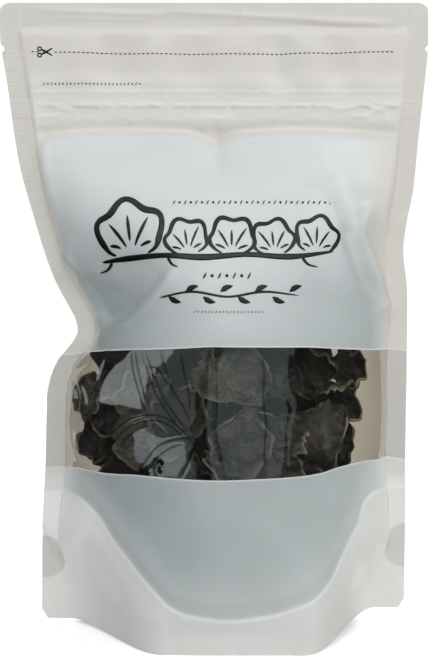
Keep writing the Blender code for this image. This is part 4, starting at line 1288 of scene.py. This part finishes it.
def add_ear(number, ear, shape, back, material):
    """One dried ear: the part's curled sheet on a fine grid, with teeth in its outline, folded
    along its normal, rolled at the rim and pressed against the film where it reaches it."""
    at_window = number < len(WINDOW_EARS)
    line = np.linspace(-1, 1, WINDOW_EAR_SIDES if at_window else HEAP_EAR_SIDES)
    across, along = np.meshgrid(line, line)
    radius, curl = ear[2] * MM, math.radians(ear[5])
    sheet, u, v, reach = ear_sheet(across, along, radius * RIM_REACH, curl, shape, FRILL)
    seed = 100 + 7 * number
    edge = np.maximum(np.abs(across), np.abs(along))
    roll = RIM_ROLL * ramp(edge, *ROLL_EASE) ** 2
    lift = ear_folds(u, v, reach, edge, radius, shape, seed) + roll
    sheet = sheet + sheet_normal(sheet) * lift[..., None]
    place = np.array([ear[0] * MM, back, ear[1] * MM])
    sheet = behind_film(sheet @ ear_turns(ear).T + place)
    normal = sheet_normal(sheet)
    skin = EAR_SKIN + (RIM_SKIN - EAR_SKIN) * ramp(edge, *RIM_THICKENS)
    half_skin = (skin * (1 - EDGE_THINNING * ramp(edge, *RIM_THINS)) / 2)[..., None]
    hollow_first = curl < 0
    whole = np.ones_like(edge)
    rim_tone = RIM_HIGHLIGHT_TONES[number] if at_window else HEAP_RIM
    worn = ramp(cloud(u, v, WEAR_SIZE, seed + 5), *WEAR_EASE)
    marks = {
        "hollow_face": (whole * hollow_first, whole * (not hollow_first)),
        "rim": MOST_TAN * rim_tone * ramp(edge, TAN_START - TAN_WIDTH * rim_tone, TAN_FULL) * worn,
        "tone": whole * (EAR_TONES[number] if at_window else HEAP_TONE),
    }
    name = f"dried_ear_{number + 1:02d}"
    mesh = closed_sheet(name, sheet + normal * half_skin, sheet - normal * half_skin, marks)
    add_piece(name, mesh, material, "wood_ear", f"wood_ear_{number + 1:02d}")


def add_ears():
    material = wood_ear_finish("dried_wood_ear")
    for number, ear, shape, back in placed_ears():
        add_ear(number, ear, shape, back, material)


# ---- The print ---------------------------------------------------------------------------------
INK_LIFT, INK = 0.05 * MM, 0.05 * MM


def on_film(x, z, lift):
    """The point over (x, z) on the front film's outer face, lift further out. The film's
    thickness and relief count along Y by the slope of the face."""
    middle, half = seams(z)
    side = (x - middle) / half
    step = 0.3 * MM
    depth = panel_depth(side, z, FRONT)
    slope_x = (panel_depth(side + step / half, z, FRONT) - depth) / step
    above_middle, above_half = seams(z + step)
    slope_z = (panel_depth((x - above_middle) / above_half, z + step, FRONT) - depth) / step
    steep = np.sqrt(1 + slope_x**2 + slope_z**2)
    out = depth + (FILM + film_relief(side, z, FRONT) + lift) * steep
    return np.stack([x, -out, z], axis=-1)


def brush(points, widths, steps=8):
    """A stroke along the smooth line through points, in mm, as wide as widths say from its start
    to its end, with round ends."""
    path = smooth_path(points, steps)
    run = unit(np.gradient(path, axis=0))
    across = np.stack([-run[:, 1], run[:, 0]], axis=-1)
    t = np.linspace(0, 1, len(path))
    width = np.interp(t, np.linspace(0, 1, len(widths)), widths)
    from_end = np.minimum(t, 1 - t) * np.linalg.norm(np.diff(path, axis=0), axis=1).sum()
    cap = np.clip(from_end / (width / 2), 0, 1)
    taper = np.sqrt(np.clip(1 - (1 - cap) ** 2, 0.03, 1))
    offset = np.linspace(-0.5, 0.5, 5)[:, None, None]
    place = path + across * (width * taper)[:, None] * offset
    return place[..., 0] * MM, place[..., 1] * MM


def dot(x, z, radius):
    """A round dot, in mm: a square grid drawn in to a disc, each point by the other's distance."""
    a, b = np.meshgrid(np.linspace(-1, 1, 4), np.linspace(-1, 1, 4))
    return (
        (x + radius * a * np.sqrt(1 - b**2 / 2)) * MM,
        (z + radius * b * np.sqrt(1 - a**2 / 2)) * MM,
    )


def add_print(name, material, patches):
    """Thin closed patches of ink joined in one piece."""
    points, faces, smooth, count = [], [], [], 0
    for x, z in patches:
        patch = closed_grid(on_film(x, z, INK_LIFT + INK), on_film(x, z, INK_LIFT))
        points.append(patch[0])
        faces.append(patch[1] + count)
        smooth.append(patch[2])
        count += len(patch[0])
    mesh = mesh_of(name, *(np.concatenate(part) for part in (points, faces, smooth)))
    add_piece(name, mesh, material, "printed_film")


# The tear line, in mm: its ends, how long its dashes and gaps are, how wide it is, its height in the
# middle, and how much higher it is at what distance from there
CUT_ENDS, DASH, DASH_GAP, DASH_WIDTH = (-71.4, 70.4), 1.05, 0.75, 0.42
CUT_HEIGHT, CUT_RISE, CUT_REACH = 226.0, 1.0, 70.0
# The scissors on it: their middle and reach, a blade's line and widths, and a loop's middle, radius
# and width
SCISSORS, SCISSORS_REACH = -65.4, 3.0
BLADE, BLADE_WIDTHS = ((-2.1, 0.95), (-0.2, 0), (2.3, -1.5)), (0.7, 0.75, 0.4)
LOOP, LOOP_RADIUS, LOOP_WIDTH = (-2.8, 1.2), 0.72, 0.5


def cut_height(x):
    """Height of the tear line over x, in mm: it sags slightly in the middle."""
    return CUT_HEIGHT + CUT_RISE * (abs(x) / CUT_REACH) ** 2


def cut_line():
    """The dashed tear line from seal to seal, and the pair of scissors near its left end."""
    for start in np.arange(*CUT_ENDS, DASH + DASH_GAP):
        if abs(start + DASH / 2 - SCISSORS) > SCISSORS_REACH:
            dash = [(x, cut_height(x)) for x in (start, start + DASH / 2, start + DASH)]
            yield brush(dash, (DASH_WIDTH, DASH_WIDTH), 2)
    height = cut_height(SCISSORS)
    for turn in (-1, 1):
        yield brush([(SCISSORS + x, height + z * turn) for x, z in BLADE], BLADE_WIDTHS)
        middle = (SCISSORS + LOOP[0], height + LOOP[1] * turn)
        angles = np.linspace(0, 2 * math.pi, 10)
        loop = [
            (middle[0] + LOOP_RADIUS * math.cos(a), middle[1] + LOOP_RADIUS * math.sin(a))
            for a in angles
        ]
        yield brush(loop, (LOOP_WIDTH, LOOP_WIDTH))


def border(start, end, height, size, gap):
    """A level row of dots and short slanted dashes by turns."""
    for number, x in enumerate(np.arange(start, end, gap)):
        if number % 2:
            yield dot(x, height, size)
        else:
            slant = ((x - size, height - 2 * size), (x + size, height + 2 * size))
            yield brush(slant, (size, size), 3)


# The drawn ears: x and height of the foot, size, lean in degrees and where their scallops start
DRAWN_EARS = (
    (-30.6, 146.6, 20.4, -5, 0.4), (-9.4, 147.4, 13.0, -7, 1.9), (6.4, 147.2, 13.8, 3, 3.1),
    (22.2, 147.2, 12.8, -3, 4.4), (37.6, 147.8, 13.4, 7, 5.6),
)
# How deep and close together the scallops are, how round a fan is, and how far round it goes
SCALLOP, SCALLOP_TURNS, FAN_ROUNDNESS, FAN_ANGLE = 0.07, 8.5, 0.6, 1.45
# Widths of a fan's outline from foot to foot and of a rib, as shares of the ear's size, and the
# ribs: angle from its upright, and where each starts and ends between foot and rim. Each bends
# outwards by that share of its angle at every step.
RIM_STROKE = (0.04, 0.12, 0.10, 0.13, 0.10, 0.13, 0.10, 0.12, 0.04)
RIB_STROKE = (0.03, 0.06, 0.065, 0.02)
DRAWN_RIBS = (
    (-0.86, 0.3, 0.74), (-0.44, 0.22, 0.84), (-0.03, 0.26, 0.72), (0.38, 0.22, 0.86),
    (0.82, 0.3, 0.72),
)
RIB_SPREAD, RIB_STEPS = 0.08, 3
# The branch that they grow on, and its twigs
BRANCH = (
    (-42.5, 144.4), (-32, 145.8), (-18, 146.9), (-4, 146.2), (12, 147.2), (28, 146.4), (44.5, 148.4),
)
BRANCH_WIDTHS, TWIG_WIDTHS = (1.0, 2.3, 1.9, 2.4, 1.8, 2.2, 0.8), (1.2, 0.9, 0.4)
TWIGS = (
    ((-38.5, 144.2), (-40.4, 141.6), (-43.6, 140.2)), ((-17, 146.2), (-15.6, 143.8), (-13.2, 142.6)),
    ((32.5, 146), (34.6, 143.6), (38.2, 142.6)),
)


def drawn_ear(foot, size, turn, shape):
    """A drawn wood ear that grows from its foot: a round fan, whose outline lies size * cos(a)^0.6
    from the foot at the angle a from its upright and is scalloped by 7 percent, with ribs that
    spread from the foot."""

    def at(angle, reach):
        scallop = 1 + SCALLOP * math.cos(SCALLOP_TURNS * angle + shape)
        away = size * reach * scallop * math.cos(angle) ** FAN_ROUNDNESS
        lean = angle + math.radians(turn)
        return (foot[0] + away * math.sin(lean), foot[1] + away * math.cos(lean))

    rim = [at(angle, 1.0) for angle in np.linspace(-FAN_ANGLE, FAN_ANGLE, 33)]
    yield brush(rim, [share * size for share in RIM_STROKE], 4)
    for angle, start, end in DRAWN_RIBS:
        reaches = np.linspace(start, end, RIB_STEPS + 1)
        rib = [at(angle * (1 + RIB_SPREAD * step), reach) for step, reach in enumerate(reaches)]
        yield brush(rib, [share * size for share in RIB_STROKE], 4)


def branch_print():
    """Five drawn ears on a branch, the first one the largest, where the title stands."""
    for x, z, size, turn, shape in DRAWN_EARS:
        yield from drawn_ear((x, z), size, turn, shape)
    yield brush(BRANCH, BRANCH_WIDTHS)
    for twig in TWIGS:
        yield brush(twig, TWIG_WIDTHS)


# The sprig, and its leaves: how many there are, how far from its start the first one is and how far
# apart they are, their height, and how far over or under it they grow
SPRIG = ((-20, 131.4), (-8, 133.6), (5, 131.8), (18, 133.6), (31, 132.2))
SPRIG_WIDTHS = (0.5, 0.9, 0.8, 0.9, 0.4)
LEAVES, LEAF_START, LEAF_GAP, LEAF_HEIGHT, LEAF_OFFSET = 8, 3.4, 6.3, 132.7, 0.9
LEAF, LEAF_WIDTHS = ((0, 0), (2.2, 1.5), (4.6, 2.1)), (0.4, 2.1, 1.7, 0.3)
# The borders: start, end, height, size and gap
BORDERS = (
    (-15, 47, 166.9, 0.45, 2.1), (-3.4, 15, 139.4, 0.6, 2.7), (-7, 18, 126.3, 0.26, 1.3),
    (-66.5, -28, 214.4, 0.34, 1.5),
)


def ornament_print():
    """Borders above and below the drawn ears, and a sprig with leaves by turns under and over it."""
    for place in BORDERS:
        yield from border(*place)
    yield brush(SPRIG, SPRIG_WIDTHS)
    for number in range(LEAVES):
        up = 1 if number % 2 else -1
        x = SPRIG[0][0] + LEAF_START + LEAF_GAP * number
        z = LEAF_HEIGHT + LEAF_OFFSET * up
        yield brush([(x + right, z + rise * up) for right, rise in LEAF], LEAF_WIDTHS)


def add_prints():
    ink = ink_finish("black_ink")
    add_print("tear_line_print", ink, cut_line())
    add_print("ear_drawings_print", ink, branch_print())
    add_print("ornament_print", ink, ornament_print())


# ---- Studio and camera -------------------------------------------------------------------------
CAMERA_AIM = Vector((0, 0, 118.5 * MM))
CAMERA_DISTANCE = 380 * MM
CAMERA_ELEVATION = math.radians(3)
LENS, SENSOR = 34.85, 24.0


def add_camera():
    camera = bpy.data.objects.new("camera", bpy.data.cameras.new("camera"))
    camera.data.sensor_fit = "VERTICAL"
    camera.data.sensor_height = SENSOR
    camera.data.lens = LENS
    away = Vector((0, -math.cos(CAMERA_ELEVATION), math.sin(CAMERA_ELEVATION)))
    camera.location = CAMERA_AIM + CAMERA_DISTANCE * away
    camera.rotation_euler = (math.pi / 2 - CAMERA_ELEVATION, 0, 0)
    bpy.context.scene.collection.objects.link(camera)
    bpy.context.scene.camera = camera


def softbox(name, place, size, glow, colour):
    """A rectangular light that faces the pouch's middle; glow is how bright its face is, 1 being
    a white card in full light. A card is only seen in what is glossy, and a fill isn't."""
    lamp = bpy.data.lights.new(name, "AREA")
    lamp.shape = "RECTANGLE"
    lamp.size, lamp.size_y = size
    lamp.energy = glow * size[0] * size[1] * math.pi
    lamp.color = colour
    thing = bpy.data.objects.new(name, lamp)
    thing.location = place
    thing.rotation_euler = (CAMERA_AIM - Vector(place)).to_track_quat("-Z", "Y").to_euler()
    thing.visible_camera = False
    thing.visible_diffuse = not name.endswith("card")
    thing.visible_glossy = not name.endswith("fill")
    bpy.context.scene.collection.objects.link(thing)


def around(azimuth, distance, height):
    """A place round the pouch: azimuth 0 is straight in front, positive to the right."""
    angle = math.radians(azimuth)
    return (distance * math.sin(angle), -distance * math.cos(angle), height)


# How bright the surround is: to the camera, and as light from the height over the horizon where
# its dome starts to glow to the height where it glows in full
BACKDROP = 1.05
SKY_RISE, SKY_GLOW = (0.25, 0.8), (0.01, 0.09)
FLOOR_RADIUS, FLOOR_GLOW = 0.75, 0.4
# Each light: name, place, size, glow and colour. The cards are what the window mirrors.
WHITE, COOL, DIM_COOL = (1, 1, 1), (0.87, 0.96, 1.0), (0.78, 0.98, 1.0)
SOFTBOXES = (
    ("overhead_light", (0.1, 0.05, 1.3), (1.4, 1.4), 0.5, WHITE),
    ("front_light", around(2, 1.0, 0.95), (1.3, 0.7), 3.05, WHITE),
    ("right_light", around(60, 1.2, 0.8), (0.9, 0.9), 1.65, WHITE),
    ("left_fill", around(-58, 1.0, 0.08), (0.6, 0.5), 0.5, WHITE),
    ("back_light", around(176, 1.1, 0.75), (1.5, 1.0), 3.8, WHITE),
    ("left_card", around(-70.5, 0.9, 0.60), (0.77, 1.14), 1.0, COOL),
    ("left_middle_card", around(-30.5, 0.9, 0.18), (0.533, 0.90), 0.19, DIM_COOL),
    ("middle_card", around(15, 0.9, 0.16), (0.69, 0.92), 0.24, DIM_COOL),
    ("low_card", around(-38, 0.5, 0.0), (0.34, 0.10), 0.7, COOL),
)


def add_studio():
    """A white floor and surround, five soft lights and four cards."""
    world = bpy.data.worlds.new("studio")
    bpy.context.scene.world = world
    world.use_nodes = True
    tree = world.node_tree
    sky = tree.nodes.new("ShaderNodeSeparateXYZ")
    tree.links.new(tree.nodes.new("ShaderNodeTexCoord").outputs["Generated"], sky.inputs[0])
    dome = tree.nodes.new("ShaderNodeMapRange")
    for key, value in enumerate(SKY_RISE + SKY_GLOW, 1):
        dome.inputs[key].default_value = value
    tree.links.new(sky.outputs[2], dome.inputs[0])
    mix = tree.nodes.new("ShaderNodeMix")
    mix.inputs[3].default_value = BACKDROP
    tree.links.new(dome.outputs[0], mix.inputs[2])
    path = tree.nodes.new("ShaderNodeLightPath")
    tree.links.new(path.outputs["Is Camera Ray"], mix.inputs[0])
    tree.links.new(mix.outputs[0], tree.nodes["Background"].inputs["Strength"])
    tree.nodes["Background"].inputs["Color"].default_value = grey(1.0)

    bpy.ops.mesh.primitive_circle_add(vertices=96, radius=FLOOR_RADIUS, fill_type="NGON")
    floor = bpy.context.object
    floor.name = "floor"
    f = Finish("pale_floor")
    shade = f.mix(f.spread(f.noise(6, 2), *NOISE), grey(0.90), grey(0.93))
    seen = f.node("LightPath").outputs["Is Camera Ray"]
    shader = f.node("BsdfPrincipled", {
        "Base Color": shade, "Roughness": 0.75, "Emission Color": grey(1.0),
        "Emission Strength": f.math("MULTIPLY", seen, FLOOR_GLOW),
    })
    floor.data.materials.append(f.finish(shader.outputs[0]))
    floor.visible_glossy = False

    for name, place, size, glow, colour in SOFTBOXES:
        softbox(name, place, size, glow, colour)
    bpy.context.scene.view_settings.view_transform = "Standard"


def add_zips():
    """The two zip strips keep their solids and take a finish of their own."""
    material = zip_finish("milky_zip")
    for node in ("zip_channel", "zip_rib"):
        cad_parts[node].data.materials.clear()
        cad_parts[node].data.materials.append(material)


add_front_film()
add_back_film()
add_gusset()
add_ears()
add_zips()
add_prints()
add_camera()
add_studio()
